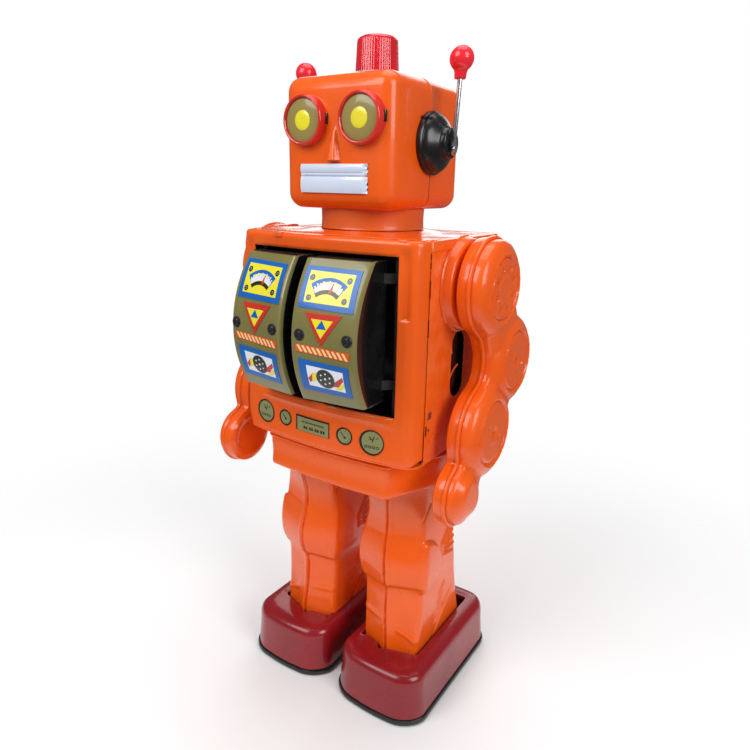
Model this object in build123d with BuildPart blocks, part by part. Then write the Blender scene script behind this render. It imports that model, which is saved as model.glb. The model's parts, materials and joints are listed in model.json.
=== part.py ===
from build123d import *
import os

os.makedirs("parts", exist_ok=True)

# Toy robot of pressed tinplate. The robot faces -Y, its own left side is +X, and the ground is z = 0.
# Lengths are in millimetres. The pieces are laid out around the waist axis, and each one is moved back by
# origin_shift as it is saved, which puts the origin under the middle of the whole robot.

# ---- sheet, fits and fasteners
sheet = 0.6
running_fit = 0.05
visible_gap = 0.3
pin_radius = 1.5
solid_reach = 200.0

# ---- head
head_half_width = 27.8
head_front = -28.4
head_crown = 0.8
head_back = 31.2
head_bottom = 236.4
head_top = 290.0
head_edge_radius = 7.0
head_seam_y = 2.0
eye_x = 14.3
eye_z = 271.8
bezel_radius = 10.3
bezel_front = -33.2
eye_disc_radius = 8.8
eye_disc_front = -32.2
mouth_half_width = 17.0
mouth_bottom = 243.0
mouth_top = 254.6
mouth_front = -30.6
ear_z = 264.0
ear_base_radius = 13.0
ear_cap_radius = 6.9
ear_cap_x = 37.8
ear_cap_thickness = 2.2
ear_rim_thickness = 2.4
ear_boss_radius = 4.9
ear_boss_length = 4.0
antenna_x = 39.1
antenna_pivot_z = 262.0
antenna_ball_z = 296.2
antenna_ball_radius = 5.0
antenna_rod_radius = 1.0
antenna_foot_radius = 2.7
antenna_foot_thickness = 1.2
antenna_rivet_radius = 0.75
antenna_knob_radius = 2.65
antenna_knob_length = 5.5
dome_y = 1.4
dome_radius = 9.5
dome_top = 308.2
dome_flange_radius = 15.0
dome_flange_height = 3.4
bulb_radius = 4.6
lamp_base_radius = 5.0

# ---- neck
collar_radius = 23.3
neck_opening_radius = 15.0

# ---- torso
torso_half_width = 47.3
torso_corner_y = -36.2
torso_front = -41.0
torso_back = 32.8
torso_bottom = 132.2
torso_top = 226.1
torso_corner_radius = 7.0
side_seam_y = -29.2
opening_half_width = 38.0
opening_bottom = 154.0
opening_top = 220.0
liner_back = -12.0
window_y = -1.0
window_z = 171.0
window_height = 30.0
window_width = 13.0
switch_z = 142.0
switch_travel = 5.0
switch_width = 3.2
switch_height = 2.2
liner_front = -37.0

# ---- chest doors
door_inner_x = 3.2
door_outer_x = 31.8
door_bottom = 160.3
door_top = 218.2
door_back = -36.6
door_top_front = -49.5
door_middle_front = -60.6
door_bottom_front = -53.4
door_pin_x = 34.9
door_pin_y = -33.4
door_pin_radius = 1.0
knuckle_radius = 1.9
knuckle_height = 4.0
knuckle_root = 2.0
door_bolt_x = (7.1, 28.9)
door_bolt_z = 189.2
bolt_radius = 2.1
bolt_length = 1.7

# ---- chest guns
gun_z = (180.0, 198.0)
gun_x = 17.5
gun_radius = 3.0
gun_bore = 1.7
gun_front = -33.0
carriage_front = -16.0
carriage_thickness = 2.0
carriage_width = 52.0
carriage_height = 30.0
guide_radius = 2.0

# ---- arms
shoulder_y = -1.0
shoulder_z = 206.5
shoulder_ring_radius = 19.4
shoulder_ring_x = 52.6
shoulder_ring_width = 3.0
arm_axle_radius = 2.5
crank_plate_x = 41.0
arm_inner_x = 53.1
arm_seam_x = 59.5
arm_outer_x = 67.5
arm_lobes = ((0.0, 206.0, 20.9), (19.0, 171.2, 20.8), (-1.4, 142.8, 21.4), (-19.2, 119.0, 13.8))
arm_neck_ratio = 0.72
right_arm_forward = 6.0

# ---- battery box in the back
cell_radius = 7.2
cell_length = 50.0
cell_z = (165.0, 181.0, 197.0)
cell_y = 22.8
box_wall = 1.2
spring_room = 4.0
spring_wire = 0.35
spring_radius = 3.0
spring_pitch = 1.2
contact_radius = 2.6
cover_roll_radius = 0.8
cover_half_width = 32.0
cover_bottom = 151.0
cover_top = 211.0

# ---- drive in the torso and hips
gear_module = 0.6
pinion_teeth = 10
wheel_teeth = 40
step_teeth = 12
drive_teeth = 36
crown_teeth = 20
idler_x = -gear_module * (drive_teeth + step_teeth) / 2
motor_x = idler_x - gear_module * (wheel_teeth + pinion_teeth) / 2
motor_radius = 10.0
motor_flat = 7.6
motor_bottom = 158.0
motor_top = 183.0
frame_floor = 134.0
frame_ceiling = 156.0
frame_plate = 2.0
frame_half_depth = 11.0
cheek_half_depth = 9.0
motor_shaft_radius = 1.0
pinion_low = 138.0
pinion_height = 4.0
wheel_low = 138.5
step_low = 141.5
step_height = 8.0
drive_low = 146.0
wheel_thickness = 3.0
shaft_low = 122.6
shaft_teeth_height = 4.4
cheek_inner_x = 43.0
cheek_top = 190.0
crank_z = 118.0
crank_throw = 1.2
crown_radius = 6.5

# ---- hips
pelvis_bottom = 114.0
pelvis_top = 130.0
pelvis_lip = 1.0
pelvis_corners = ((33.5, -35.0), (46.0, -8.0), (46.0, 8.0), (36.0, 28.0))
hip_y = -12.0
hip_z = 121.0
bush_radius = 6.0
bush_flange_radius = 16.0
bush_low = 127.5
bracket_x = 8.0
bracket_thickness = 1.5
bracket_width = 22.0
bracket_middle = (-5.0, 120.7)
hip_axle_half = 22.0
axle_head_radius = 3.0
eccentric_x = 15.2
eccentric_width = 2.6
eccentric_radius = 3.0
crank_half = 19.0
crown_face_x = 4.2
crown_tooth_length = 1.4
crown_tooth_width = 0.7

# ---- legs and feet
leg_inner_x = 11.7
leg_seam_x = 27.4
leg_outer_x = 42.0
leg_bottom = 13.0
leg_top = 117.0
leg_side = (
    (-19.5, leg_bottom),
    (31.0, leg_bottom),
    (31.0, 26.0),
    (22.0, 54.0),
    (14.0, 84.0),
    (12.5, 96.0),
    (12.5, leg_top),
    (-20.0, leg_top),
)
leg_face_x = 34.0
leg_face_y = -21.0
leg_flank_y = -7.0
leg_rear_y = 33.0
knee_y = -10.0
knee_z = 70.0
knee_radius = 12.5
knee_inner_x = 7.6
knee_outer_x = 44.5
hanger_x = 15.6
hanger_thickness = 1.8
hanger_width = 26.0
hanger_height = 29.2
hanger_middle = (-5.0, 112.0)
crank_window = 12.0
foot_opening = (-22.0, 34.0)
foot_x = 27.8
foot_half_width = 24.2
foot_front = -37.2
foot_back = 48.6
foot_height = 26.2
foot_corner_radius = 10.0
foot_shoulder_radius = 5.5
sole_thickness = 3.0
roller_y = 6.0
roller_radius = 6.0
roller_lift = 0.2
roller_half_width = 4.0
sole_lip = 0.8


front_reach = door_middle_front + 0.3 - bolt_length
rear_reach = foot_back + sole_lip
origin_shift = -(front_reach + rear_reach) / 2


def save(piece, name):
    """Move one finished piece to the robot's origin, label it and write its STEP file."""
    placed = piece.part.moved(Location((0, origin_shift, 0)))
    placed.label = name
    export_step(placed, f"parts/{name}.step")


def rod(plane, centre, radius, length, mode=Mode.ADD):
    """Round bar or round hole that starts on a plane and runs along the plane's normal."""
    with BuildSketch(plane) as face:
        with Locations(centre):
            Circle(radius)
    extrude(face.sketch, amount=length, mode=mode)


def bar(plane, centre, width, height, length, mode=Mode.ADD):
    """Rectangular bar or slot that starts on a plane and runs along the plane's normal."""
    with BuildSketch(plane) as face:
        with Locations(centre):
            Rectangle(width, height)
    extrude(face.sketch, amount=length, mode=mode)


def tooth_wheel(plane, centre, teeth, thickness, phase):
    """Spur gear with straight-sided teeth; phase is the angle of the first tooth's centre line."""
    pitch_radius = gear_module * teeth / 2
    root_radius = pitch_radius - 0.95 * gear_module
    tip_radius = pitch_radius + 0.7 * gear_module
    root_half = 0.50 * gear_module
    tip_half = 0.30 * gear_module
    overlap = 0.3
    with BuildSketch(plane) as face:
        with Locations(centre):
            Circle(root_radius)
            with PolarLocations(0, teeth, start_angle=phase):
                Polygon(
                    (root_radius - overlap, -root_half),
                    (tip_radius, -tip_half),
                    (tip_radius, tip_half),
                    (root_radius - overlap, root_half),
                    align=None,
                )
    extrude(face.sketch, amount=thickness)


def mirrored(piece):
    """The same piece for the robot's right side."""
    with BuildPart() as other_side:
        add(piece.part.mirror(Plane.YZ))
    return other_side


def mirrored_pair(piece):
    """Left and right copies of one piece, as two separate solids."""
    with BuildPart() as pair:
        add(piece.part)
        add(piece.part.mirror(Plane.YZ))
    return pair


# ================================================================ head
def head_block(inset):
    """The head's rounded box, shrunk by inset on every side."""
    with BuildPart() as block:
        with BuildSketch(Plane.XY.offset(head_bottom + inset)):
            with BuildLine():
                Polyline(
                    (head_half_width, head_front),
                    (head_half_width, head_back),
                    (-head_half_width, head_back),
                    (-head_half_width, head_front),
                )
                ThreePointArc(
                    (-head_half_width, head_front),
                    (0, head_front - head_crown),
                    (head_half_width, head_front),
                )
            make_face()
            if inset:
                offset(amount=-inset, kind=Kind.INTERSECTION)
        extrude(amount=head_top - head_bottom - 2 * inset)
        fillet(block.edges().filter_by(Axis.Z), radius=head_edge_radius - inset)
        fillet(block.faces().sort_by(Axis.Z)[-1].edges(), radius=head_edge_radius - 1 - inset)
    return block.part


head_solid = head_block(0)
head_hollow = head_block(sheet)


def head_shell(keep):
    """Front or rear half of the head, split at the ears."""
    with BuildPart() as shell:
        add(head_solid)
        add(head_hollow, mode=Mode.SUBTRACT)
        rod(Plane.XY.offset(head_top - 8), (0, dome_y), lamp_base_radius + 0.2, 20, Mode.SUBTRACT)
        rod(Plane.XY.offset(head_bottom - 2), (0, 0), neck_opening_radius, 6, Mode.SUBTRACT)
        rod(Plane.YZ.offset(-solid_reach / 2), (head_seam_y, ear_z), ear_boss_radius + 0.1, solid_reach, Mode.SUBTRACT)
        split(bisect_by=Plane.XZ.offset(-head_seam_y), keep=keep)
    return shell


head_front_shell = head_shell(Keep.TOP)
head_rear_shell = head_shell(Keep.BOTTOM)
save(head_front_shell, "head_front_shell")
save(head_rear_shell, "head_rear_shell")

with BuildPart() as neck_collar:
    with BuildSketch(Plane.XY.offset(torso_top)):
        Circle(collar_radius)
        Circle(collar_radius - sheet, mode=Mode.SUBTRACT)
    extrude(amount=head_bottom - torso_top)
save(neck_collar, "neck_collar")

with BuildPart() as eye_bezels:
    for x in (-eye_x, eye_x):
        rod(Plane.XZ.offset(-head_front), (x, eye_z), bezel_radius, head_front - bezel_front)
        rod(Plane.XZ.offset(-head_front), (x, eye_z), eye_disc_radius, head_front - bezel_front, Mode.SUBTRACT)
    fillet(eye_bezels.faces().sort_by(Axis.Y)[:2].edges().filter_by(GeomType.CIRCLE), radius=0.7)
    add(head_solid, mode=Mode.SUBTRACT)
save(eye_bezels, "eye_bezels")

with BuildPart() as eye_discs:
    for x in (-eye_x, eye_x):
        rod(Plane.XZ.offset(-head_front), (x, eye_z), eye_disc_radius, head_front - eye_disc_front)
    add(head_solid, mode=Mode.SUBTRACT)
save(eye_discs, "eye_discs")

with BuildPart() as mouth_plate:
    bar(
        Plane.XZ.offset(-head_front),
        (0, (mouth_bottom + mouth_top) / 2),
        2 * mouth_half_width,
        mouth_top - mouth_bottom,
        head_front - mouth_front,
    )
    bar(
        Plane.XZ.offset(-mouth_front - 0.8),
        (0, (mouth_bottom + mouth_top) / 2),
        2 * mouth_half_width,
        1.2,
        2,
        Mode.SUBTRACT,
    )
    add(head_solid, mode=Mode.SUBTRACT)
save(mouth_plate, "mouth_plate")

# The ear is a plastic cone on the seam, with a boss that passes through the head's side.
ear_plane = Plane(origin=(0, head_seam_y, ear_z), x_dir=(1, 0, 0), z_dir=(0, 0, 1))
ear_axis = Axis((0, head_seam_y, ear_z), (1, 0, 0))
with BuildPart() as left_ear_housing:
    with BuildSketch(ear_plane):
        with BuildLine():
            Polyline(
                (head_half_width - ear_boss_length, 0),
                (head_half_width - ear_boss_length, ear_boss_radius),
                (head_half_width, ear_boss_radius),
                (head_half_width, ear_base_radius),
                (head_half_width + ear_rim_thickness, ear_base_radius),
                (ear_cap_x - ear_cap_thickness, ear_cap_radius + 0.6),
                (ear_cap_x, ear_cap_radius),
                (ear_cap_x, 0),
                close=True,
            )
        make_face()
    revolve(axis=ear_axis)
    rod(
        Plane.YZ.offset(ear_cap_x - 3),
        (head_seam_y, antenna_pivot_z),
        antenna_rivet_radius + running_fit,
        4,
        Mode.SUBTRACT,
    )
ear_housings = mirrored_pair(left_ear_housing)
save(ear_housings, "ear_housings")

# A flattened foot is riveted to the ear, so the antenna can be leaned forwards and back.
with BuildPart() as left_antenna_rod:
    rod(
        Plane.YZ.offset(ear_cap_x + 3 * running_fit),
        (head_seam_y, antenna_pivot_z),
        antenna_foot_radius,
        antenna_foot_thickness,
    )
    rod(Plane.YZ.offset(ear_cap_x - 2.8), (head_seam_y, antenna_pivot_z), antenna_rivet_radius, 4)
    rod(
        Plane.XY.offset(antenna_pivot_z),
        (antenna_x, head_seam_y),
        antenna_rod_radius,
        antenna_ball_z - antenna_pivot_z - antenna_ball_radius,
    )
right_antenna_rod = mirrored(left_antenna_rod)
save(left_antenna_rod, "left_antenna_rod")
save(right_antenna_rod, "right_antenna_rod")

with BuildPart() as left_antenna_ball:
    with Locations((antenna_x, head_seam_y, antenna_ball_z)):
        Sphere(antenna_ball_radius)
    rod(
        Plane.XY.offset(antenna_ball_z - 3 - antenna_knob_length),
        (antenna_x, head_seam_y),
        antenna_knob_radius,
        antenna_knob_length,
    )
    rod(
        Plane.XY.offset(antenna_pivot_z),
        (antenna_x, head_seam_y),
        antenna_rod_radius,
        antenna_ball_z - antenna_pivot_z - antenna_ball_radius,
        Mode.SUBTRACT,
    )
right_antenna_ball = mirrored(left_antenna_ball)
save(left_antenna_ball, "left_antenna_ball")
save(right_antenna_ball, "right_antenna_ball")

with BuildPart() as dome_flange:
    with BuildSketch(Plane.XY.offset(head_top)):
        with Locations((0, dome_y)):
            Circle(dome_flange_radius)
            Circle(dome_radius + 0.1, mode=Mode.SUBTRACT)
    extrude(amount=dome_flange_height)
save(dome_flange, "dome_flange")

with BuildPart() as dome_lens:
    with BuildSketch(Plane.XY.offset(head_top)):
        with Locations((0, dome_y)):
            Circle(dome_radius)
    extrude(amount=dome_top - head_top, taper=2)
    fillet(dome_lens.faces().sort_by(Axis.Z)[-1].edges(), radius=2.5)
    offset(amount=-1.0, openings=dome_lens.faces().sort_by(Axis.Z)[0])
save(dome_lens, "dome_lens")

# The lamp's screw base stands in the hole in the top of the head.
with BuildPart() as dome_bulb:
    rod(Plane.XY.offset(head_top - 12), (0, dome_y), lamp_base_radius, 16)
    with Locations((0, dome_y, head_top + 6.5)):
        Sphere(bulb_radius)
save(dome_bulb, "dome_bulb")


# ================================================================ torso shells
def torso_plan(inset):
    """Outline of the torso seen from above, with its gently crowned front."""
    with BuildLine() as outline:
        Polyline(
            (torso_half_width, torso_corner_y),
            (torso_half_width, torso_back),
            (-torso_half_width, torso_back),
            (-torso_half_width, torso_corner_y),
        )
        ThreePointArc(
            (-torso_half_width, torso_corner_y),
            (0, torso_front),
            (torso_half_width, torso_corner_y),
        )
    make_face(outline.edges())
    if inset:
        offset(amount=-inset, kind=Kind.INTERSECTION)


def torso_block(inset, low, high):
    """Upright prism on the torso's outline, with rounded upright corners."""
    with BuildPart() as block:
        with BuildSketch(Plane.XY.offset(low)):
            torso_plan(inset)
        extrude(amount=high - low)
        fillet(block.edges().filter_by(Axis.Z), radius=torso_corner_radius - inset)
    return block.part


wall_low = torso_bottom + sheet
wall_high = torso_top - sheet
torso_outer = torso_block(0, wall_low, wall_high)
torso_inner = torso_block(sheet, wall_low, wall_high)

with BuildPart() as body_front_panel:
    add(torso_outer)
    add(torso_inner, mode=Mode.SUBTRACT)
    split(bisect_by=Plane.XZ.offset(-side_seam_y), keep=Keep.TOP)
    bar(
        Plane.XZ.offset(20),
        (0, (opening_bottom + opening_top) / 2),
        2 * opening_half_width,
        opening_top - opening_bottom,
        40,
        Mode.SUBTRACT,
    )
save(body_front_panel, "body_front_panel")

with BuildPart() as body_rear_shell:
    add(torso_outer)
    add(torso_inner, mode=Mode.SUBTRACT)
    split(bisect_by=Plane.XZ.offset(-side_seam_y), keep=Keep.BOTTOM)
    rod(
        Plane.YZ.offset(-solid_reach / 2),
        (shoulder_y, shoulder_z),
        arm_axle_radius + running_fit,
        solid_reach,
        Mode.SUBTRACT,
    )
    with BuildSketch(Plane.YZ.offset(-solid_reach / 2)):
        with Locations((window_y, window_z)):
            SlotOverall(window_height, window_width, rotation=90)
    extrude(amount=solid_reach, mode=Mode.SUBTRACT)
    bar(
        Plane.XZ.offset(-torso_back - 5),
        (0, (cover_bottom + cover_top) / 2),
        2 * cover_half_width,
        cover_top - cover_bottom,
        10,
        Mode.SUBTRACT,
    )
    bar(
        Plane.XZ.offset(-torso_back - 5),
        (switch_travel / 2, switch_z),
        switch_travel + switch_width + 4 * running_fit,
        switch_height + 4 * running_fit,
        10,
        Mode.SUBTRACT,
    )
save(body_rear_shell, "body_rear_shell")

with BuildPart() as body_top_plate:
    add(torso_block(0, wall_high, torso_top))
    rod(Plane.XY.offset(wall_high - 1), (0, 0), neck_opening_radius, 4, Mode.SUBTRACT)
save(body_top_plate, "body_top_plate")

with BuildPart() as body_bottom_plate:
    add(torso_block(0, torso_bottom, wall_low))
    rod(Plane.XY.offset(torso_bottom - 1), (0, 0), bush_radius + running_fit, 4, Mode.SUBTRACT)
save(body_bottom_plate, "body_bottom_plate")

liner_half_width = opening_half_width + sheet
liner_bottom = opening_bottom - sheet
liner_top = opening_top + sheet
with BuildPart() as chest_liner:
    bar(
        Plane.XZ.offset(-liner_back),
        (0, (liner_bottom + liner_top) / 2),
        2 * liner_half_width,
        liner_top - liner_bottom,
        liner_back - liner_front,
    )
    bar(
        Plane.XZ.offset(-liner_back + sheet),
        (0, (liner_bottom + liner_top) / 2),
        2 * liner_half_width - 2 * sheet,
        liner_top - liner_bottom - 2 * sheet,
        40,
        Mode.SUBTRACT,
    )
    rod(
        Plane.XZ.offset(-liner_back - 2),
        (0, door_bolt_z),
        guide_radius + running_fit,
        6,
        Mode.SUBTRACT,
    )
save(chest_liner, "chest_liner")


# ================================================================ chest doors
def door_profile():
    """Side outline of a door: its face bows forward between top and bottom."""
    with BuildLine() as outline:
        Polyline(
            (door_top_front, door_top),
            (door_back, door_top),
            (door_back, door_bottom),
            (door_bottom_front, door_bottom),
        )
        ThreePointArc(
            (door_bottom_front, door_bottom),
            (door_middle_front, (door_bottom + door_top) / 2),
            (door_top_front, door_top),
        )
    make_face(outline.edges())


with BuildPart() as left_door:
    with BuildSketch(Plane.YZ.offset(door_inner_x)):
        door_profile()
    extrude(amount=door_outer_x - door_inner_x)
    offset(amount=-sheet, openings=left_door.faces().filter_by(Plane.XZ).sort_by(Axis.Y)[-1])
    for knuckle_z in (door_bottom + 5, door_top - 9):
        with BuildSketch(Plane.XY.offset(knuckle_z)):
            with Locations((door_pin_x, door_pin_y)):
                Circle(knuckle_radius)
            Polygon(
                (door_outer_x, door_back - knuckle_root),
                (door_pin_x + 0.8, door_pin_y - 1.6),
                (door_pin_x - 1.2, door_pin_y + 1.2),
                (door_outer_x - sheet, door_back - 0.6),
                (door_outer_x - sheet, door_back - knuckle_root),
                align=None,
            )
            with Locations((door_pin_x, door_pin_y)):
                Circle(door_pin_radius + running_fit, mode=Mode.SUBTRACT)
        extrude(amount=knuckle_height)
right_door = mirrored(left_door)
save(left_door, "left_door")
save(right_door, "right_door")

with BuildPart() as left_door_pin:
    rod(
        Plane.XY.offset(opening_bottom),
        (door_pin_x, door_pin_y),
        door_pin_radius,
        opening_top - opening_bottom,
    )
door_pins = mirrored_pair(left_door_pin)
save(door_pins, "door_pins")

with BuildPart() as left_door_bolts:
    for bolt_x in door_bolt_x:
        rod(Plane.XZ.offset(-door_middle_front - 0.3), (bolt_x, door_bolt_z), bolt_radius, bolt_length)
    add(left_door.part, mode=Mode.SUBTRACT)
right_door_bolts = mirrored(left_door_bolts)
save(left_door_bolts, "left_door_bolts")
save(right_door_bolts, "right_door_bolts")

# ================================================================ chest guns
carriage_back = carriage_front + carriage_thickness
with BuildPart() as gun_carriage:
    bar(
        Plane.XZ.offset(-carriage_back),
        (0, door_bolt_z),
        carriage_width,
        carriage_height,
        carriage_thickness,
    )
    rod(Plane.XZ.offset(0), (0, door_bolt_z), guide_radius, -carriage_back)
save(gun_carriage, "gun_carriage")

with BuildPart() as gun_barrels:
    for barrel_x in (-gun_x, gun_x):
        for barrel_z in gun_z:
            rod(Plane.XZ.offset(-carriage_front), (barrel_x, barrel_z), gun_radius, carriage_front - gun_front)
            rod(Plane.XZ.offset(-gun_front - 10), (barrel_x, barrel_z), gun_bore, 12, Mode.SUBTRACT)
save(gun_barrels, "gun_barrels")

# ================================================================ battery box
box_front = cell_y - cell_radius - visible_gap - box_wall
box_back = torso_back - sheet
box_low = cell_z[0] - cell_radius - visible_gap
box_high = cell_z[-1] + cell_radius + visible_gap
box_half = cell_length / 2 + spring_room
with BuildPart() as battery_box:
    bar(
        Plane.XZ.offset(-box_back),
        (0, (box_low + box_high) / 2),
        2 * box_half + 2 * box_wall,
        box_high - box_low + 2 * box_wall,
        box_back - box_front,
    )
    bar(
        Plane.XZ.offset(-box_back - 1),
        (0, (box_low + box_high) / 2),
        2 * box_half,
        box_high - box_low,
        box_back - box_front + 1 - box_wall,
        Mode.SUBTRACT,
    )
save(battery_box, "battery_box")

with BuildPart() as battery_cells:
    for z in cell_z:
        rod(Plane.YZ.offset(-cell_length / 2 + 1), (cell_y, z), cell_radius, cell_length - 1.5)
        rod(Plane.YZ.offset(-cell_length / 2), (cell_y, z), contact_radius, 1)
save(battery_cells, "battery_cells")

# Each cell rests against one coil spring.
spring_start = cell_length / 2 - 0.5 + spring_wire + 0.02
spring_end = box_half - spring_wire - 0.02
with BuildPart() as battery_springs:
    for z in cell_z:
        with BuildLine() as coil:
            Helix(
                pitch=spring_pitch,
                height=spring_end - spring_start,
                radius=spring_radius,
                center=(spring_start, cell_y, z),
                direction=(1, 0, 0),
            )
        with BuildSketch(Plane(origin=coil.line @ 0, z_dir=coil.line % 0)):
            Circle(spring_wire)
        sweep(path=coil.line)
save(battery_springs, "battery_springs")

# The cover hinges on the rolled edge along its foot.
with BuildPart() as battery_cover:
    bar(
        Plane.XZ.offset(-torso_back),
        (0, (cover_bottom + cover_top) / 2),
        2 * (cover_half_width - visible_gap),
        cover_top - cover_bottom - 2 * visible_gap,
        sheet,
    )
    rod(
        Plane.YZ.offset(-cover_half_width + 2),
        (torso_back - cover_roll_radius, cover_bottom + visible_gap + cover_roll_radius),
        cover_roll_radius,
        2 * cover_half_width - 4,
    )
save(battery_cover, "battery_cover")

with BuildPart() as switch_lever:
    bar(Plane.XZ.offset(-torso_back - 3.4), (0, switch_z), switch_width, switch_height, 8)
    bar(Plane.XZ.offset(-torso_back + sheet + 2 * running_fit), (0, switch_z), switch_width + 2.8, switch_height + 1.8, 2)
save(switch_lever, "switch_lever")

# ================================================================ torso drive
with BuildPart() as gearbox_frame:
    bar(Plane.XY.offset(frame_floor), (0, 0), 2 * (cheek_inner_x + 2), 2 * frame_half_depth, frame_plate)
    bar(Plane.XY.offset(frame_ceiling), (0, 0), 2 * (cheek_inner_x + 2), 2 * cheek_half_depth, frame_plate)
    for cheek_x in (-cheek_inner_x - 1, cheek_inner_x + 1):
        bar(Plane.XY.offset(frame_floor), (cheek_x, 0), 2, 2 * cheek_half_depth, cheek_top - frame_floor)
    rod(Plane.XY.offset(frame_floor), (idler_x, 0), pin_radius, frame_ceiling - frame_floor + 1)
    rod(Plane.XY.offset(frame_floor - 1), (0, 0), pin_radius + running_fit, 30, Mode.SUBTRACT)
    rod(Plane.XY.offset(frame_floor - 1), (motor_x, 0), motor_shaft_radius + running_fit, 30, Mode.SUBTRACT)
save(gearbox_frame, "gearbox_frame")

with BuildPart() as motor_can:
    rod(Plane.XY.offset(motor_bottom), (motor_x, 0), motor_radius, motor_top - motor_bottom)
    bar(
        Plane.XY.offset(motor_bottom),
        (motor_x, 0),
        3 * motor_radius,
        2 * motor_flat,
        motor_top - motor_bottom,
        Mode.INTERSECT,
    )
    rod(Plane.XY.offset(motor_bottom - 1), (motor_x, 0), motor_shaft_radius + running_fit, 12, Mode.SUBTRACT)
save(motor_can, "motor_can")

with BuildPart() as motor_pinion:
    tooth_wheel(Plane.XY.offset(pinion_low), (motor_x, 0), pinion_teeth, pinion_height, 0)
    rod(Plane.XY.offset(pinion_low), (motor_x, 0), motor_shaft_radius, motor_bottom + 8 - pinion_low)
save(motor_pinion, "motor_pinion")

with BuildPart() as idler_gear:
    tooth_wheel(Plane.XY.offset(wheel_low), (idler_x, 0), wheel_teeth, wheel_thickness, 180 / wheel_teeth)
    tooth_wheel(Plane.XY.offset(step_low), (idler_x, 0), step_teeth, step_height, 0)
    rod(Plane.XY.offset(wheel_low - 1), (idler_x, 0), pin_radius + running_fit, 20, Mode.SUBTRACT)
save(idler_gear, "idler_gear")

with BuildPart() as drive_gear:
    tooth_wheel(Plane.XY.offset(drive_low), (0, 0), drive_teeth, wheel_thickness, 180 / drive_teeth)
    rod(Plane.XY.offset(drive_low - 2), (0, 0), 4, wheel_thickness + 2)
    rod(Plane.XY.offset(drive_low - 3), (0, 0), pin_radius, 20, Mode.SUBTRACT)
save(drive_gear, "drive_gear")

with BuildPart() as drive_shaft:
    rod(Plane.XY.offset(shaft_low), (0, 0), pin_radius, frame_ceiling + frame_plate + 1 - shaft_low)
    tooth_wheel(Plane.XY.offset(shaft_low), (0, 0), pinion_teeth, shaft_teeth_height, 180 / pinion_teeth)
save(drive_shaft, "drive_shaft")


# ================================================================ arms
def arm_outline(inset):
    """Four round lobes joined by narrower necks."""
    for y, z, radius in arm_lobes:
        with Locations((y, z)):
            Circle(radius - inset)
    for start, end in zip(arm_lobes, arm_lobes[1:]):
        neck = Vector(end[0] - start[0], end[1] - start[1])
        middle = ((start[0] + end[0]) / 2, (start[1] + end[1]) / 2)
        width = 2 * (arm_neck_ratio * min(start[2], end[2]) - inset)
        angle = Vector(1, 0).get_signed_angle(neck, Vector(0, 0, 1))
        with Locations(Location(middle, angle)):
            Rectangle(neck.length, width)


def arm_half(seam_x, face_x):
    """One pressed half of an arm, open towards the seam."""
    depth = abs(face_x - seam_x)
    outward = 1 if face_x > seam_x else -1
    with BuildPart() as half:
        with BuildSketch(Plane.YZ.offset(seam_x)):
            arm_outline(0)
        extrude(amount=outward * depth)
        with BuildSketch(Plane.YZ.offset(seam_x)):
            arm_outline(sheet)
        extrude(amount=outward * (depth - sheet), mode=Mode.SUBTRACT)
        if outward < 0:
            rod(Plane.YZ.offset(face_x - 1), (shoulder_y, shoulder_z), arm_axle_radius, 5, Mode.SUBTRACT)
    return half


def right_arm_piece(piece):
    """Mirror an arm piece and swing it forward to its own rest angle."""
    with BuildPart() as other_side:
        add(piece.part.mirror(Plane.YZ).rotate(shoulder_axis, -right_arm_forward))
    return other_side


shoulder_axis = Axis((0, shoulder_y, shoulder_z), (1, 0, 0))
left_arm_inner_shell = arm_half(arm_seam_x, arm_inner_x)
left_arm_outer_shell = arm_half(arm_seam_x, arm_outer_x)
with BuildPart() as left_arm_axle:
    rod(
        Plane.YZ.offset(crank_plate_x),
        (shoulder_y, shoulder_z),
        arm_axle_radius,
        arm_outer_x - sheet - crank_plate_x,
    )
    rod(Plane.YZ.offset(crank_plate_x), (shoulder_y, shoulder_z), 2 * arm_axle_radius, 2)
    bar(Plane.YZ.offset(crank_plate_x), (shoulder_y, shoulder_z - 7), 2 * arm_axle_radius, 16, 2)
save(left_arm_inner_shell, "left_arm_inner_shell")
save(left_arm_outer_shell, "left_arm_outer_shell")
save(left_arm_axle, "left_arm_axle")
right_arm_inner_shell = right_arm_piece(left_arm_inner_shell)
right_arm_outer_shell = right_arm_piece(left_arm_outer_shell)
right_arm_axle = right_arm_piece(left_arm_axle)
save(right_arm_inner_shell, "right_arm_inner_shell")
save(right_arm_outer_shell, "right_arm_outer_shell")
save(right_arm_axle, "right_arm_axle")

with BuildPart() as left_shoulder_ring:
    with BuildSketch(Plane.YZ.offset(torso_half_width)):
        with Locations((shoulder_y, shoulder_z)):
            Circle(shoulder_ring_radius)
            Circle(shoulder_ring_radius - shoulder_ring_width, mode=Mode.SUBTRACT)
    extrude(amount=shoulder_ring_x - torso_half_width)
shoulder_rings = mirrored_pair(left_shoulder_ring)
save(shoulder_rings, "shoulder_rings")


# ================================================================ hips
def pelvis_plan(inset):
    """Eight-sided outline that stays inside the circle swept by the hands."""
    other_side = [(-x, y) for x, y in reversed(pelvis_corners)]
    with BuildLine() as outline:
        Polyline(*pelvis_corners, *other_side, close=True)
    make_face(outline.edges())
    if inset:
        offset(amount=-inset, kind=Kind.INTERSECTION)


with BuildPart() as pelvis_shell:
    with BuildSketch(Plane.XY.offset(pelvis_bottom)):
        pelvis_plan(0)
    extrude(amount=pelvis_top - sheet - pelvis_bottom)
    with BuildSketch(Plane.XY.offset(pelvis_bottom)):
        pelvis_plan(sheet)
    extrude(amount=pelvis_top - sheet - pelvis_bottom, mode=Mode.SUBTRACT)
save(pelvis_shell, "pelvis_shell")

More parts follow.
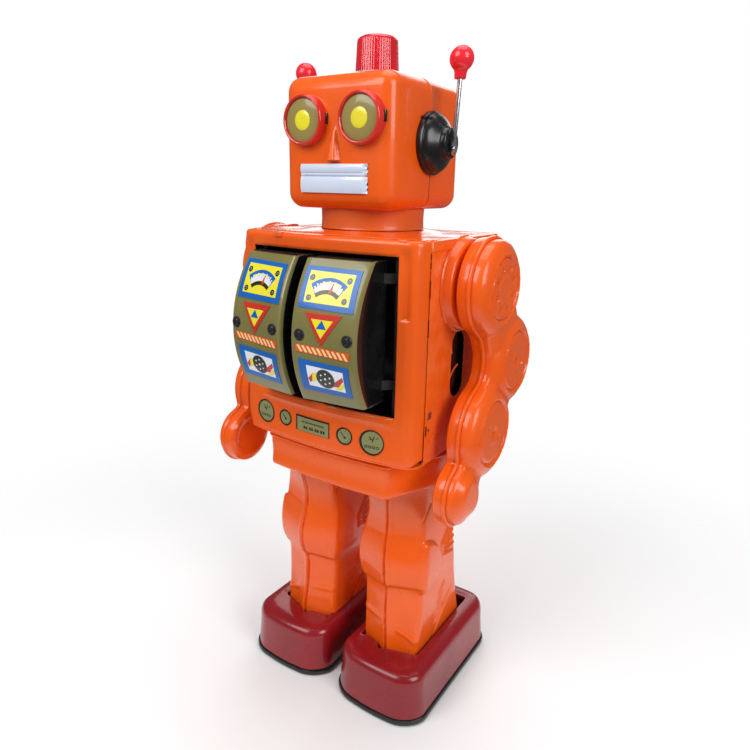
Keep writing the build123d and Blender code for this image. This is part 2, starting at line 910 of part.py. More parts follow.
with BuildPart() as pelvis_top_plate:
    with BuildSketch(Plane.XY.offset(pelvis_top - sheet)):
        pelvis_plan(-pelvis_lip)
    extrude(amount=sheet)
    rod(Plane.XY.offset(pelvis_top - 3), (0, 0), bush_radius, 6, Mode.SUBTRACT)
save(pelvis_top_plate, "pelvis_top_plate")

with BuildPart() as waist_bush:
    rod(Plane.XY.offset(bush_low), (0, 0), bush_radius, wall_low + 1 - bush_low)
    rod(Plane.XY.offset(pelvis_top), (0, 0), bush_flange_radius, torso_bottom - running_fit - pelvis_top)
    rod(Plane.XY.offset(bush_low - 1), (0, 0), pin_radius + running_fit, 12, Mode.SUBTRACT)
save(waist_bush, "waist_bush")

with BuildPart() as left_bracket:
    bar(
        Plane.YZ.offset(bracket_x),
        bracket_middle,
        bracket_width,
        2 * (pelvis_top - sheet - bracket_middle[1]),
        bracket_thickness,
    )
    rod(Plane.YZ.offset(bracket_x - 1), (hip_y, hip_z), pin_radius, 4, Mode.SUBTRACT)
    rod(Plane.YZ.offset(bracket_x - 1), (0, crank_z), pin_radius + running_fit, 4, Mode.SUBTRACT)
pelvis_brackets = mirrored_pair(left_bracket)
save(pelvis_brackets, "pelvis_brackets")

with BuildPart() as hip_axle:
    rod(Plane.YZ.offset(-hip_axle_half), (hip_y, hip_z), pin_radius, 2 * hip_axle_half)
    rod(Plane.YZ.offset(hip_axle_half - 1.5), (hip_y, hip_z), axle_head_radius, 1.5)
    rod(Plane.YZ.offset(-hip_axle_half), (hip_y, hip_z), axle_head_radius, 1.5)
save(hip_axle, "hip_axle")

# The crank turns in the brackets. Its crown teeth take the drive from the shaft above, and its eccentrics
# stand half a turn apart inside the leg hangers.
with BuildPart() as crank_axle:
    rod(Plane.YZ.offset(-crank_half), (0, crank_z), pin_radius, 2 * crank_half)
    rod(Plane.YZ.offset(eccentric_x), (crank_throw, crank_z), eccentric_radius, eccentric_width)
    rod(Plane.YZ.offset(-eccentric_x - eccentric_width), (-crank_throw, crank_z), eccentric_radius, eccentric_width)
    rod(Plane.YZ.offset(crown_face_x), (0, crank_z), crown_radius, 2)
    with BuildSketch(Plane.YZ.offset(crown_face_x - 1.1)):
        with Locations((0, crank_z)):
            with PolarLocations(crown_radius - 0.9, crown_teeth):
                Rectangle(crown_tooth_length, crown_tooth_width)
    extrude(amount=1.5)
save(crank_axle, "crank_axle")


# ================================================================ legs
def leg_block(inset):
    """Solid leg, shrunk by inset: a long profile from the side, cut to a chamfered plan, with a knee boss."""
    with BuildPart() as block:
        with BuildSketch(Plane.YZ):
            with BuildLine():
                Polyline(*leg_side, close=True)
            make_face()
            if inset:
                offset(amount=-inset, kind=Kind.INTERSECTION)
        extrude(amount=solid_reach)
        with BuildSketch(Plane.XY):
            with BuildLine():
                Polyline(
                    (leg_inner_x, leg_face_y),
                    (leg_face_x, leg_face_y),
                    (leg_outer_x, leg_flank_y),
                    (leg_outer_x, leg_rear_y),
                    (leg_inner_x, leg_rear_y),
                    close=True,
                )
            make_face()
            if inset:
                offset(amount=-inset, kind=Kind.INTERSECTION)
        extrude(amount=solid_reach, mode=Mode.INTERSECT)
        rod(
            Plane.YZ.offset(knee_inner_x + inset),
            (knee_y, knee_z),
            knee_radius - inset,
            knee_outer_x - knee_inner_x - 2 * inset,
        )
    return block.part


leg_solid = leg_block(0)
leg_hollow = leg_block(sheet)
with BuildPart() as left_leg_outer_shell:
    add(leg_solid)
    add(leg_hollow, mode=Mode.SUBTRACT)
    split(bisect_by=Plane.YZ.offset(leg_seam_x), keep=Keep.TOP)
save(left_leg_outer_shell, "left_leg_outer_shell")

with BuildPart() as left_leg_inner_shell:
    add(leg_solid)
    add(leg_hollow, mode=Mode.SUBTRACT)
    split(bisect_by=Plane.YZ.offset(leg_seam_x), keep=Keep.BOTTOM)
    bar(Plane.YZ.offset(hanger_x), hanger_middle, hanger_width, hanger_height, hanger_thickness)
    bar(Plane.YZ.offset(leg_inner_x - 1), (0, crank_z), crank_window, crank_window, 9.5, Mode.SUBTRACT)
    rod(Plane.YZ.offset(leg_inner_x - 1), (hip_y, hip_z), pin_radius + running_fit, 10, Mode.SUBTRACT)
save(left_leg_inner_shell, "left_leg_inner_shell")

right_leg_outer_shell = mirrored(left_leg_outer_shell)
right_leg_inner_shell = mirrored(left_leg_inner_shell)
save(right_leg_outer_shell, "right_leg_outer_shell")
save(right_leg_inner_shell, "right_leg_inner_shell")

# ================================================================ feet
foot_middle_y = (foot_front + foot_back) / 2
foot_length = foot_back - foot_front


def foot_block(inset):
    """Solid foot with big upright corners and a rounded shoulder, shrunk by inset above and at the sides."""
    with BuildPart() as block:
        with BuildSketch(Plane.XY.offset(sole_thickness)):
            with Locations((foot_x, foot_middle_y)):
                RectangleRounded(
                    2 * (foot_half_width - inset),
                    foot_length - 2 * inset,
                    foot_corner_radius - inset,
                )
        extrude(amount=foot_height - sole_thickness - inset)
        fillet(block.faces().sort_by(Axis.Z)[-1].edges(), radius=foot_shoulder_radius - inset)
    return block.part


foot_solid = foot_block(0)
foot_hollow = foot_block(sheet)
with BuildPart() as left_foot_shell:
    add(foot_solid)
    add(foot_hollow, mode=Mode.SUBTRACT)
    bar(
        Plane.XY.offset(foot_height - 3),
        ((leg_inner_x + leg_outer_x) / 2, (foot_opening[0] + foot_opening[1]) / 2),
        leg_outer_x - leg_inner_x + 1.6,
        foot_opening[1] - foot_opening[0],
        6,
        Mode.SUBTRACT,
    )
right_foot_shell = mirrored(left_foot_shell)
save(left_foot_shell, "left_foot_shell")
save(right_foot_shell, "right_foot_shell")

roller_z = roller_radius + roller_lift
post_offset = roller_half_width + 2.0
with BuildPart() as left_foot_sole:
    with BuildSketch(Plane.XY):
        with Locations((foot_x, foot_middle_y)):
            RectangleRounded(
                2 * (foot_half_width + sole_lip),
                foot_length + 2 * sole_lip,
                foot_corner_radius + sole_lip,
            )
    extrude(amount=sole_thickness)
    bar(
        Plane.XY.offset(-1),
        (foot_x, roller_y),
        2 * (roller_half_width + 0.5),
        2 * roller_radius,
        sole_thickness + 2,
        Mode.SUBTRACT,
    )
    for post_x in (foot_x - post_offset, foot_x + post_offset):
        bar(Plane.XY.offset(sole_thickness), (post_x, roller_y), 2, 7, leg_bottom - sole_thickness)
    rod(
        Plane.YZ.offset(foot_x - post_offset - 2),
        (roller_y, roller_z),
        pin_radius + running_fit,
        2 * post_offset + 4,
        Mode.SUBTRACT,
    )
right_foot_sole = mirrored(left_foot_sole)
save(left_foot_sole, "left_foot_sole")
save(right_foot_sole, "right_foot_sole")

with BuildPart() as left_foot_roller:
    rod(Plane.YZ.offset(foot_x - roller_half_width), (roller_y, roller_z), roller_radius, 2 * roller_half_width)
    rod(Plane.YZ.offset(foot_x - post_offset - 1), (roller_y, roller_z), pin_radius, 2 * post_offset + 2)
right_foot_roller = mirrored(left_foot_roller)
save(left_foot_roller, "left_foot_roller")
save(right_foot_roller, "right_foot_roller")
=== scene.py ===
import json
import math

import bpy
import numpy as np
from mathutils import Matrix, Vector
from mathutils.geometry import delaunay_2d_cdt


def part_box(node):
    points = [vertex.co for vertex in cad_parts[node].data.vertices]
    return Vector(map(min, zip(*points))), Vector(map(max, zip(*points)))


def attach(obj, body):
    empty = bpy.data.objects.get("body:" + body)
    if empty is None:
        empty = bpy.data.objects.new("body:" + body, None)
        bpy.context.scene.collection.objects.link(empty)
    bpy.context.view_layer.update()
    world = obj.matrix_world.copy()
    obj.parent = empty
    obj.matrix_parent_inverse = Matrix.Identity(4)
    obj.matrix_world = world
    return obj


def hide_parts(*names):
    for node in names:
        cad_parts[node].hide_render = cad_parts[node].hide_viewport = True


# Looks of the tin robot. Lengths in this file are millimetres measured from the foot of the waist axis; pieces are
# moved to the shared frame and scaled to metres when they are made. The robot faces -Y, its own left side is +X
# and the ground is z = 0.

MM = 0.001
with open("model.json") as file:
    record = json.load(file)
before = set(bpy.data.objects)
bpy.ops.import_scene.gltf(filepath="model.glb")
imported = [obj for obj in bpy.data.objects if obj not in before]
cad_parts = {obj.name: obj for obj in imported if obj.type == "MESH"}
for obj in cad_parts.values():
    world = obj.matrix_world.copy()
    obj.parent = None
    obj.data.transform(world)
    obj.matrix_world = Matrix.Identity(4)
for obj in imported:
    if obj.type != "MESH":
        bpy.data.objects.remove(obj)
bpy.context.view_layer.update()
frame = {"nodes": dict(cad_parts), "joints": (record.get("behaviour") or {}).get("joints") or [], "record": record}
joints = {joint["name"]: joint for joint in frame["joints"]}
WAIST = Vector((0, joints["waist_turn"]["pos_m"][1], 0))


def box(node):
    """Lowest and highest corner of a CAD node, in millimetres from the foot of the waist axis."""
    low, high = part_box(node)
    return (np.array(low) - WAIST) / MM, (np.array(high) - WAIST) / MM


def middle_of(node):
    """Centre and half size of a CAD node."""
    low, high = box(node)
    return (low + high) / 2, (high - low) / 2


# ---------------------------------------------------------------- small maths
def ramp(low, high, value):
    """Smooth step from 0 at low to 1 at high."""
    t = np.clip((np.asarray(value, float) - low) / (high - low), 0, 1)
    return t * t * (3 - 2 * t)


def bump(centre, half, value):
    """Smooth bump of height 1 that fades to 0 at centre +- half."""
    t = np.clip(np.abs(np.asarray(value, float) - centre) / half, 0, 1)
    return (1 - t * t) ** 2


def plateau(low, high, soft, value):
    """1 between low and high, fading over soft at both ends."""
    return ramp(low - soft / 2, low + soft / 2, value) * (1 - ramp(high - soft / 2, high + soft / 2, value))


def rounded_rectangle(low, high, radius, corner_steps=6, side_step=2.0):
    """Closed loop of points round a rectangle with round corners, anticlockwise from the lower right side."""
    (x0, y0), (x1, y1) = low, high
    corners = [(x1 - radius, y1 - radius, 0), (x0 + radius, y1 - radius, 90),
               (x0 + radius, y0 + radius, 180), (x1 - radius, y0 + radius, 270)]
    points = []
    for cx, cy, start in corners:
        for k in range(corner_steps + 1):
            a = math.radians(start + 90 * k / corner_steps)
            points.append((cx + radius * math.cos(a), cy + radius * math.sin(a)))
    return resample(np.array(points), side_step)


def resample(loop, step):
    """Adds points on the long sides of a closed loop, and keeps its corner points."""
    out = []
    for a, b in zip(loop, np.roll(loop, -1, axis=0)):
        pieces = max(1, int(math.ceil(np.linalg.norm(b - a) / step)))
        for k in range(pieces):
            out.append(a + (b - a) * k / pieces)
    return np.array(out)


def circle(centre, radius, count=48):
    angles = np.arange(count) * 2 * math.pi / count
    return np.stack([centre[0] + radius * np.cos(angles), centre[1] + radius * np.sin(angles)], axis=1)


def inside(loop, points):
    """True for the points that lie inside a closed loop."""
    result = np.zeros(len(points), bool)
    x, y = points[:, 0], points[:, 1]
    for (x0, y0), (x1, y1) in zip(loop, np.roll(loop, -1, axis=0)):
        crosses = (y0 > y) != (y1 > y)
        if not crosses.any():
            continue
        at = x0 + (y - y0) * (x1 - x0) / (y1 - y0 if y1 != y0 else 1e-12)
        result ^= crosses & (x < at)
    return result


def distance_to(loops, points):
    """Distance from each point to the nearest loop point."""
    marks = np.concatenate(loops)
    return np.min(np.linalg.norm(points[:, None, :] - marks[None, :, :], axis=2), axis=1)


def triangulate(outline, holes=(), rings=(), step=1.5):
    """Fills an outline with even triangles. Returns points, triangles and which loop point each point comes from."""
    loops = [outline, *holes, *rings]
    low, high = outline.min(axis=0), outline.max(axis=0)
    xs = np.arange(low[0] + step / 2, high[0], step)
    ys = np.arange(low[1] + step / 2, high[1], step * 0.87)
    grid = np.array([(x + (step / 2 if j % 2 else 0), y) for j, y in enumerate(ys) for x in xs])
    if len(grid):
        keep = inside(outline, grid) & (distance_to(loops, grid) > step * 0.55)
        for hole in holes:
            keep &= ~inside(hole, grid)
        grid = grid[keep]
    points = np.concatenate([*loops, grid]) if len(grid) else np.concatenate(loops)
    edges, start = [], 0
    for loop in loops:
        n = len(loop)
        edges += [(start + k, start + (k + 1) % n) for k in range(n)]
        start += n
    found = delaunay_2d_cdt([Vector(p) for p in points], edges, [], 0, 1e-5)
    filled = np.array([tuple(p) for p in found[0]])
    source = [min(s) if len(s) else -1 for s in found[3]]
    triangles = np.array([tuple(f) for f in found[2]])
    middles = filled[triangles].mean(axis=1)
    keep = inside(outline, middles)
    for hole in holes:
        keep &= ~inside(hole, middles)
    return filled, triangles[keep], source


# ---------------------------------------------------------------- building meshes
class Sheet:
    """Points and faces of one piece, in millimetres."""

    def __init__(self):
        self.points = []
        self.faces = []
        self.slots = []

    def add(self, points):
        first = len(self.points)
        self.points += [tuple(map(float, p)) for p in points]
        return list(range(first, len(self.points)))

    def face(self, corners, slot=0):
        self.faces.append(tuple(corners))
        self.slots.append(slot)

    def bridge(self, a, b, closed=True, slot=0):
        """Quads between two rows with the same number of points."""
        n = len(a)
        for k in range(n if closed else n - 1):
            j = (k + 1) % n
            self.face((a[k], a[j], b[j], b[k]), slot)

    def rows(self, rows, closed=True, slot=0):
        rings = [self.add(r) for r in rows]
        for a, b in zip(rings, rings[1:]):
            self.bridge(a, b, closed, slot)
        return rings

    def cap(self, ring, slot=0):
        self.face(ring, slot)

    def cap_ends(self, rings, slot=0):
        self.face(rings[0], slot)
        self.face(rings[-1], slot)

    def fill(self, outline_ids, outline, place, holes=(), rings=(), step=1.5, slot=0):
        """Fills a loop that is already in the sheet; place maps flat points to space."""
        points, triangles, source = triangulate(outline, holes, rings, step)
        fresh = self.add(place(points))
        ids = [outline_ids[s] if 0 <= s < len(outline) else f for s, f in zip(source, fresh)]
        for t in triangles:
            self.face([ids[i] for i in t], slot)
        by_source = {s: i for s, i in zip(source, ids)}
        start, hole_ids = len(outline), []
        for hole in holes:
            hole_ids.append([by_source[start + k] for k in range(len(hole))])
            start += len(hole)
        return hole_ids


def make_piece(name, sheet, materials, body, slot, replaces=(), thickness=0.0, flat_angle=35.0, outward=None):
    """Turns a sheet into a Blender object that rides on a body."""
    mesh = bpy.data.meshes.new(name)
    mesh.from_pydata([Vector(p) * MM + WAIST for p in sheet.points], [], sheet.faces)
    mesh.polygons.foreach_set("material_index", sheet.slots)
    piece = bpy.data.objects.new(name, mesh)
    bpy.context.collection.objects.link(piece)
    merge_and_orient(mesh, outward)
    for material in materials:
        mesh.materials.append(material)
    mesh.polygons.foreach_set("use_smooth", [True] * len(mesh.polygons))
    mesh.set_sharp_from_angle(angle=math.radians(flat_angle))
    if thickness:
        solid = piece.modifiers.new("sheet", "SOLIDIFY")
        solid.thickness = thickness * MM
        solid.offset = -1
    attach(piece, body)
    if replaces:
        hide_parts(*replaces)
    return piece


def make_pair(name, sheet, materials, body, slot, node="", outward=None, **rest):
    """A piece on the robot's left and its mirror image on the right. {} in a name stands for the side; a node name
    without it covers both sides and goes with the left piece."""
    for side, sign in (("left", 1), ("right", -1)):
        one = sheet if sign > 0 else mirror_sheet(sheet)
        covered = (node.format(side),) if "{}" in node or (node and sign > 0) else ()
        facing = outward and (sign * outward[0], *outward[1:])
        make_piece(name.format(side), one, materials, body.format(side), slot, covered, outward=facing, **rest)


def merge_and_orient(mesh, outward):
    """Merges doubled points and turns every face outward; outward is a direction the open side faces away from."""
    import bmesh
    bm = bmesh.new()
    bm.from_mesh(mesh)
    bmesh.ops.remove_doubles(bm, verts=bm.verts, dist=2e-6)
    bmesh.ops.dissolve_degenerate(bm, edges=bm.edges, dist=1e-7)
    loose = [v for v in bm.verts if not v.link_faces]
    bmesh.ops.delete(bm, geom=loose, context="VERTS")
    bmesh.ops.recalc_face_normals(bm, faces=bm.faces)
    if outward is not None:
        total = Vector((0, 0, 0))
        for f in bm.faces:
            total += f.normal * f.calc_area()
        if total.dot(Vector(outward)) < 0:
            bmesh.ops.reverse_faces(bm, faces=bm.faces)
    bm.to_mesh(mesh)
    bm.free()


def lathe(sheet, profile, place, steps=64, slot=0, wobble=None):
    """Revolves a profile of (along, radius) points; place maps (along, side, up) to space."""
    rings = []
    for along, radius in profile:
        row = []
        for k in range(steps):
            a = 2 * math.pi * k / steps
            r = radius + (wobble(along, a, radius) if wobble else 0)
            row.append(place(along, r * math.cos(a), r * math.sin(a)))
        rings.append(sheet.add(row))
    for a, b in zip(rings, rings[1:]):
        sheet.bridge(a, b, slot=slot)
    return rings


def around(first, second, steps):
    """Profile points given as steps from one place."""
    return [(first + a, second + b) for a, b in steps]


def smooth_profile(points, steps=4):
    """Catmull-Rom curve through profile points."""
    points = [np.array(p, float) for p in points]
    points = [2 * points[0] - points[1], *points, 2 * points[-1] - points[-2]]
    out = []
    for a, b, c, d in zip(points, points[1:], points[2:], points[3:]):
        for k in range(steps):
            t = k / steps
            out.append(0.5 * (2 * b + (c - a) * t + (2 * a - 5 * b + 4 * c - d) * t * t
                              + (3 * b - a - 3 * c + d) * t ** 3))
    out.append(points[-2])
    return out


def mirror_sheet(sheet):
    """The same sheet on the robot's right side."""
    other = Sheet()
    other.points = [(-x, y, z) for x, y, z in sheet.points]
    other.faces = [tuple(reversed(f)) for f in sheet.faces]
    other.slots = list(sheet.slots)
    return other


def turn_sheet(sheet, pivot_y, pivot_z, angle):
    """Turns a sheet about a line along X."""
    c, s = math.cos(angle), math.sin(angle)
    turned = Sheet()
    turned.points = [(x, pivot_y + (y - pivot_y) * c - (z - pivot_z) * s,
                      pivot_z + (y - pivot_y) * s + (z - pivot_z) * c) for x, y, z in sheet.points]
    turned.faces = list(sheet.faces)
    turned.slots = list(sheet.slots)
    return turned


# ---------------------------------------------------------------- materials
class Graph:
    """Shader nodes of one material or of the world."""

    def __init__(self, owner):
        owner.use_nodes = True
        self.owner = owner
        self.tree = owner.node_tree
        self.shader = self.tree.nodes.get("Principled BSDF")

    def fill(self, node, values):
        """Sets inputs of a node, or links them where the value is another node's output."""
        for name, value in values.items():
            if isinstance(value, bpy.types.NodeSocket):
                self.tree.links.new(value, node.inputs[name])
            else:
                node.inputs[name].default_value = value

    def node(self, kind, values, output, **settings):
        """Adds a node and returns one of its outputs."""
        node = self.tree.nodes.new("ShaderNode" + kind)
        for name, value in settings.items():
            setattr(node, name, value)
        self.fill(node, values)
        return node.outputs[output]

    def noise(self, scale, detail=3.0):
        """Noise in object space, so that it has one scale on every piece."""
        where = self.node("TexCoord", {}, "Object")
        return self.node("TexNoise", {"Scale": scale, "Detail": detail, "Roughness": 0.5, "Vector": where}, "Fac")

    def map_range(self, source, start, end, low, high, kind="LINEAR"):
        """Clamped map from start..end to low..high."""
        values = {"From Min": start, "From Max": end, "To Min": low, "To Max": high, "Value": source}
        return self.node("MapRange", values, "Result", interpolation_type=kind)

    def spread(self, scale, detail, low, high):
        """Noise whose middle range is stretched to low..high."""
        return self.map_range(self.noise(scale, detail), 0.2, 0.8, low, high, "SMOOTHERSTEP")

    def blend(self, factor, first, second):
        """Blend of two colours; each is given as numbers or as the output of another node."""
        first, second = ((*color, 1) if isinstance(color, tuple) else color for color in (first, second))
        return self.node("Mix", {"A": first, "B": second, "Factor": factor}, "Result", data_type="RGBA")

    def math(self, operation, first, second):
        return self.node("Math", {0: first, 1: second}, "Value", operation=operation)


def drifting(name, scale, detail, color, other):
    """New material whose colour drifts softly between two colours."""
    graph = Graph(bpy.data.materials.new(name))
    tint = graph.blend(graph.spread(scale, detail, 0, 1), color, other)
    graph.fill(graph.shader, {"Base Color": tint})
    return graph, tint


def finished(graph, grain_scale, grain_depth, rough):
    """Fine surface bump and uneven gloss, shared by every material."""
    grain = {"Strength": 1.0, "Distance": grain_depth * MM, "Height": graph.noise(grain_scale, 2.0)}
    graph.fill(graph.shader, {"Normal": graph.node("Bump", grain, "Normal"),
                              "Roughness": graph.spread(45, 4.0, *rough)})
    return graph.owner


def enamel(name, color, deep, coat=1.0, rough=(0.20, 0.34), edge_wear_and_hollow_shade=None):
    """Baked gloss paint on tinplate: slight orange peel and soft colour drift. Pieces given a worn-edge colour have
    thin paint
    on their edges, and painted shade: a darker tone in their hollows and creases, where shade falls."""
    graph, tint = drifting(name, 30, 2.0, color, deep)
    if edge_wear_and_hollow_shade:
        shape = graph.node("NewGeometry", {}, "Pointiness")
        edge = graph.map_range(shape, 0.53, 0.62, 0.0, 1.0)
        tint = graph.blend(graph.math("MULTIPLY", edge, graph.spread(160, 4.0, 0.0, 0.9)), tint, edge_wear_and_hollow_shade)
        # painted shade: the colour is darkened in hollows, creases and seams (low pointiness), where shade falls
        tint = graph.blend(graph.map_range(shape, 0.488, 0.42, 0.0, 0.75), tint, tuple(0.35 * c for c in deep))
    graph.fill(graph.shader, {"Base Color": tint, "Specular IOR Level": 0.35, "Coat Weight": coat,
                              "Coat Roughness": 0.06})
    return finished(graph, 900, 0.010, rough)


def plated(name, color, rough=(0.08, 0.2), metallic=1.0):
    """Bright plated steel with faint drawing marks."""
    graph, _ = drifting(name, 120, 3.0, color, tuple(0.8 * c for c in color))
    graph.fill(graph.shader, {"Metallic": metallic})
    return finished(graph, 2500, 0.006, rough)


def moulded(name, color, rough=(0.16, 0.26), coat=0.3, grain=0.006):
    """Injection-moulded plastic with a faint skin texture."""
    graph, _ = drifting(name, 60, 3.0, color, tuple(min(1, c * 1.25 + 0.004) for c in color))
    graph.fill(graph.shader, {"Coat Weight": coat, "Coat Roughness": 0.12})
    return finished(graph, 1400, grain, rough)


def clear_plastic(name, color, transmission, rough=(0.05, 0.16)):
    """Tinted see-through plastic with flow marks."""
    graph, _ = drifting(name, 90, 3.0, color, tuple(0.85 * c for c in color))
    graph.fill(graph.shader, {"Transmission Weight": transmission, "IOR": 1.49, "Coat Weight": 0.6})
    return finished(graph, 700, 0.01, rough)


ORANGE = enamel("orange_enamel", (0.90, 0.118, 0.005), (0.86, 0.102, 0.004), coat=0.40, edge_wear_and_hollow_shade=(0.95, 0.20, 0.05))
# painted shade: the neck collar is the same orange tin as the body, given a darker base colour for the shade it sits in
# under the head
COLLAR_PAINTED_SHADE = enamel("collar_enamel_painted_shade", (0.74, 0.13, 0.018), (0.66, 0.11, 0.014), coat=0.25, rough=(0.32, 0.45))
MAROON = enamel("maroon_enamel", (0.28, 0.008, 0.014), (0.22, 0.006, 0.010), coat=0.4, edge_wear_and_hollow_shade=(0.38, 0.04, 0.05))
BLACK_TIN = enamel("black_enamel", (0.006, 0.006, 0.007), (0.011, 0.011, 0.012), coat=0.3, edge_wear_and_hollow_shade=(0.05, 0.05, 0.05))
OLIVE = enamel("olive_print", (0.215, 0.19, 0.062), (0.185, 0.165, 0.05), coat=0.4)
OLIVE_EDGE = enamel("olive_edge", (0.26, 0.24, 0.09), (0.20, 0.18, 0.06), coat=0.6)
EYE_OLIVE = enamel("eye_olive_print", (0.33, 0.255, 0.075), (0.29, 0.22, 0.062), coat=0.5)
YELLOW = enamel("yellow_print", (0.86, 0.76, 0.03), (0.80, 0.70, 0.025), coat=0.6)
BLUE = enamel("blue_print", (0.004, 0.135, 0.50), (0.003, 0.11, 0.42), coat=0.2)
RED_PRINT = enamel("red_print", (0.62, 0.035, 0.018), (0.54, 0.025, 0.014), coat=0.4)
ORANGE_PRINT = enamel("orange_print", (0.80, 0.11, 0.015), (0.72, 0.09, 0.012), coat=0.4)
PALE_STRIPE = enamel("pale_stripe_print", (0.95, 0.72, 0.36), (0.90, 0.64, 0.30), coat=0.4)
WHITE_PRINT = enamel("white_print", (0.86, 0.88, 0.93), (0.80, 0.82, 0.90), coat=0.4)
LILAC_PRINT = enamel("lilac_print", (0.74, 0.77, 0.93), (0.66, 0.70, 0.90), coat=0.4)
OLIVE_DIAL = enamel("olive_dial_print", (0.27, 0.27, 0.11), (0.235, 0.235, 0.09), coat=0.7)
SEAM_DARK = enamel("dark_seam", (0.035, 0.006, 0.003), (0.02, 0.004, 0.002), coat=0.2)
INK = enamel("black_print", (0.008, 0.009, 0.008), (0.014, 0.014, 0.012), coat=0.6)
MOUTH = enamel("mouth_enamel", (0.70, 0.78, 0.93), (0.62, 0.71, 0.90), edge_wear_and_hollow_shade=(0.9, 0.92, 0.96))
RED_PLASTIC = moulded("red_plastic", (0.80, 0.016, 0.030))
BEZEL_RED = moulded("bezel_red", (0.60, 0.022, 0.014))
BLACK_PLASTIC = moulded("black_plastic", (0.004, 0.005, 0.006), rough=(0.20, 0.30), coat=0.2)
CHROME = plated("plated_rod", (0.86, 0.86, 0.88))
STEEL = plated("plain_steel", (0.50, 0.49, 0.47), rough=(0.25, 0.42))
DARK_STEEL = plated("blackened_bolt", (0.045, 0.045, 0.05), rough=(0.2, 0.38), metallic=0.5)
BRASS = plated("turned_brass", (0.80, 0.58, 0.24), rough=(0.16, 0.3))
DOME_RED = clear_plastic("dome_red", (0.90, 0.012, 0.03), 0.22)
CLEAR = clear_plastic("clear_trim", (0.72, 0.62, 0.56), 0.25, rough=(0.1, 0.25))
LAMP = clear_plastic("lamp_glass", (0.95, 0.95, 0.92), 0.9)
NYLON = moulded("white_nylon", (0.80, 0.79, 0.74), rough=(0.35, 0.5), coat=0.0)
RUBBER = moulded("black_rubber", (0.012, 0.012, 0.012), rough=(0.55, 0.75), coat=0.0, grain=0.03)
JACKET = moulded("cell_jacket", (0.06, 0.065, 0.07), rough=(0.3, 0.45))


# ---------------------------------------------------------------- shared shapes for boxes and printed marks
def edge_lines(low, high, radius, step, extra=()):
    """Grid lines along one side of a round-edged box: close together on the edges."""
    angles = np.radians(np.linspace(0, 45, 7))
    near = low + radius - radius * np.tan(angles)[::-1]
    far = high - radius + radius * np.tan(angles)
    count = max(2, int((high - low - 2 * radius) / step))
    middle = np.linspace(low + radius, high - radius, count + 1)[1:-1]
    lines = np.sort(np.concatenate([near, middle, far, np.array(extra, float)]))
    keep = np.concatenate([[True], np.diff(lines) > 0.05])
    return lines[keep]


def round_box(sheet, low, high, radius, lines, relief=None, slot_of=None):
    """Box with round edges made of grids; relief moves points, slot_of picks a material for each face."""
    low, high = np.array(low, float), np.array(high, float)
    for axis in range(3):
        b, c = (axis + 1) % 3, (axis + 2) % 3
        for end in (low[axis], high[axis]):
            grid_b, grid_c = np.meshgrid(lines[b], lines[c], indexing="ij")
            points = np.zeros((grid_b.size, 3))
            points[:, axis] = end
            points[:, b], points[:, c] = grid_b.ravel(), grid_c.ravel()
            core = np.clip(points, low + radius, high - radius)
            away = points - core
            normals = away / np.linalg.norm(away, axis=1)[:, None]
            points = core + radius * normals
            if relief:
                points = relief(points, normals)
            ids = sheet.add(points)
            columns = len(lines[c])
            for i in range(len(lines[b]) - 1):
                for j in range(columns - 1):
                    k = i * columns + j
                    corners = (ids[k], ids[k + columns], ids[k + columns + 1], ids[k + 1])
                    middle = points[[k, k + columns, k + columns + 1, k + 1]].mean(axis=0)
                    sheet.face(corners, slot_of(middle) if slot_of else 0)


def split(sheet, in_first):
    """Two sheets made of the faces that pass in_first and those that don't."""
    halves = Sheet(), Sheet()
    for face, slot in zip(sheet.faces, sheet.slots):
        corners = [sheet.points[i] for i in face]
        half = halves[0] if in_first(np.mean(corners, axis=0)) else halves[1]
        half.face(half.add(corners), slot)
    return halves


class Print:
    """Thin printed or stamped marks laid over a curved surface."""

    def __init__(self, surface):
        self.sheet = Sheet()
        self.surface = surface

    def add(self, loop, lift, slot, step=50.0, sink=0.12):
        loop = np.array(loop, float)
        area = np.sum(loop[:, 0] * np.roll(loop[:, 1], -1) - np.roll(loop[:, 0], -1) * loop[:, 1])
        if area < 0:
            loop = loop[::-1]
        if step < 10:
            loop = resample(loop, step)
        top = self.sheet.add([self.surface(u, v, lift) for u, v in loop])
        low = self.sheet.add([self.surface(u, v, -sink) for u, v in loop])
        self.sheet.bridge(low, top, slot=slot)
        points, triangles, source = triangulate(loop, step=step)
        fresh = {k: None for k in range(len(points))}
        for k, s in enumerate(source):
            fresh[k] = top[s] if 0 <= s < len(loop) else self.sheet.add([self.surface(*points[k], lift)])[0]
        for t in triangles:
            self.sheet.face([fresh[i] for i in t], slot)

    def rect(self, x0, y0, x1, y1, lift, slot, step=50.0):
        self.add([(x0, y0), (x1, y0), (x1, y1), (x0, y1)], lift, slot, step)

    def stroke(self, start, end, width, lift, slot):
        a, b = np.array(start, float), np.array(end, float)
        side = np.array([-(b - a)[1], (b - a)[0]]) / np.linalg.norm(b - a) * width / 2
        self.add([a + side, a - side, b - side, b + side], lift, slot)

    def disc(self, centre, radius, lift, slot, count=28, step=50.0):
        self.add(circle(centre, radius, count), lift, slot, step)

    def band(self, centre, inner, outer, start, end, lift, slot, steps=14):
        """Part of a ring between two angles in degrees."""
        angles = np.radians(np.linspace(start, end, steps))
        far = [(centre[0] + outer * math.cos(a), centre[1] + outer * math.sin(a)) for a in angles]
        near = [(centre[0] + inner * math.cos(a), centre[1] + inner * math.sin(a)) for a in angles[::-1]]
        self.add(far + near, lift, slot)


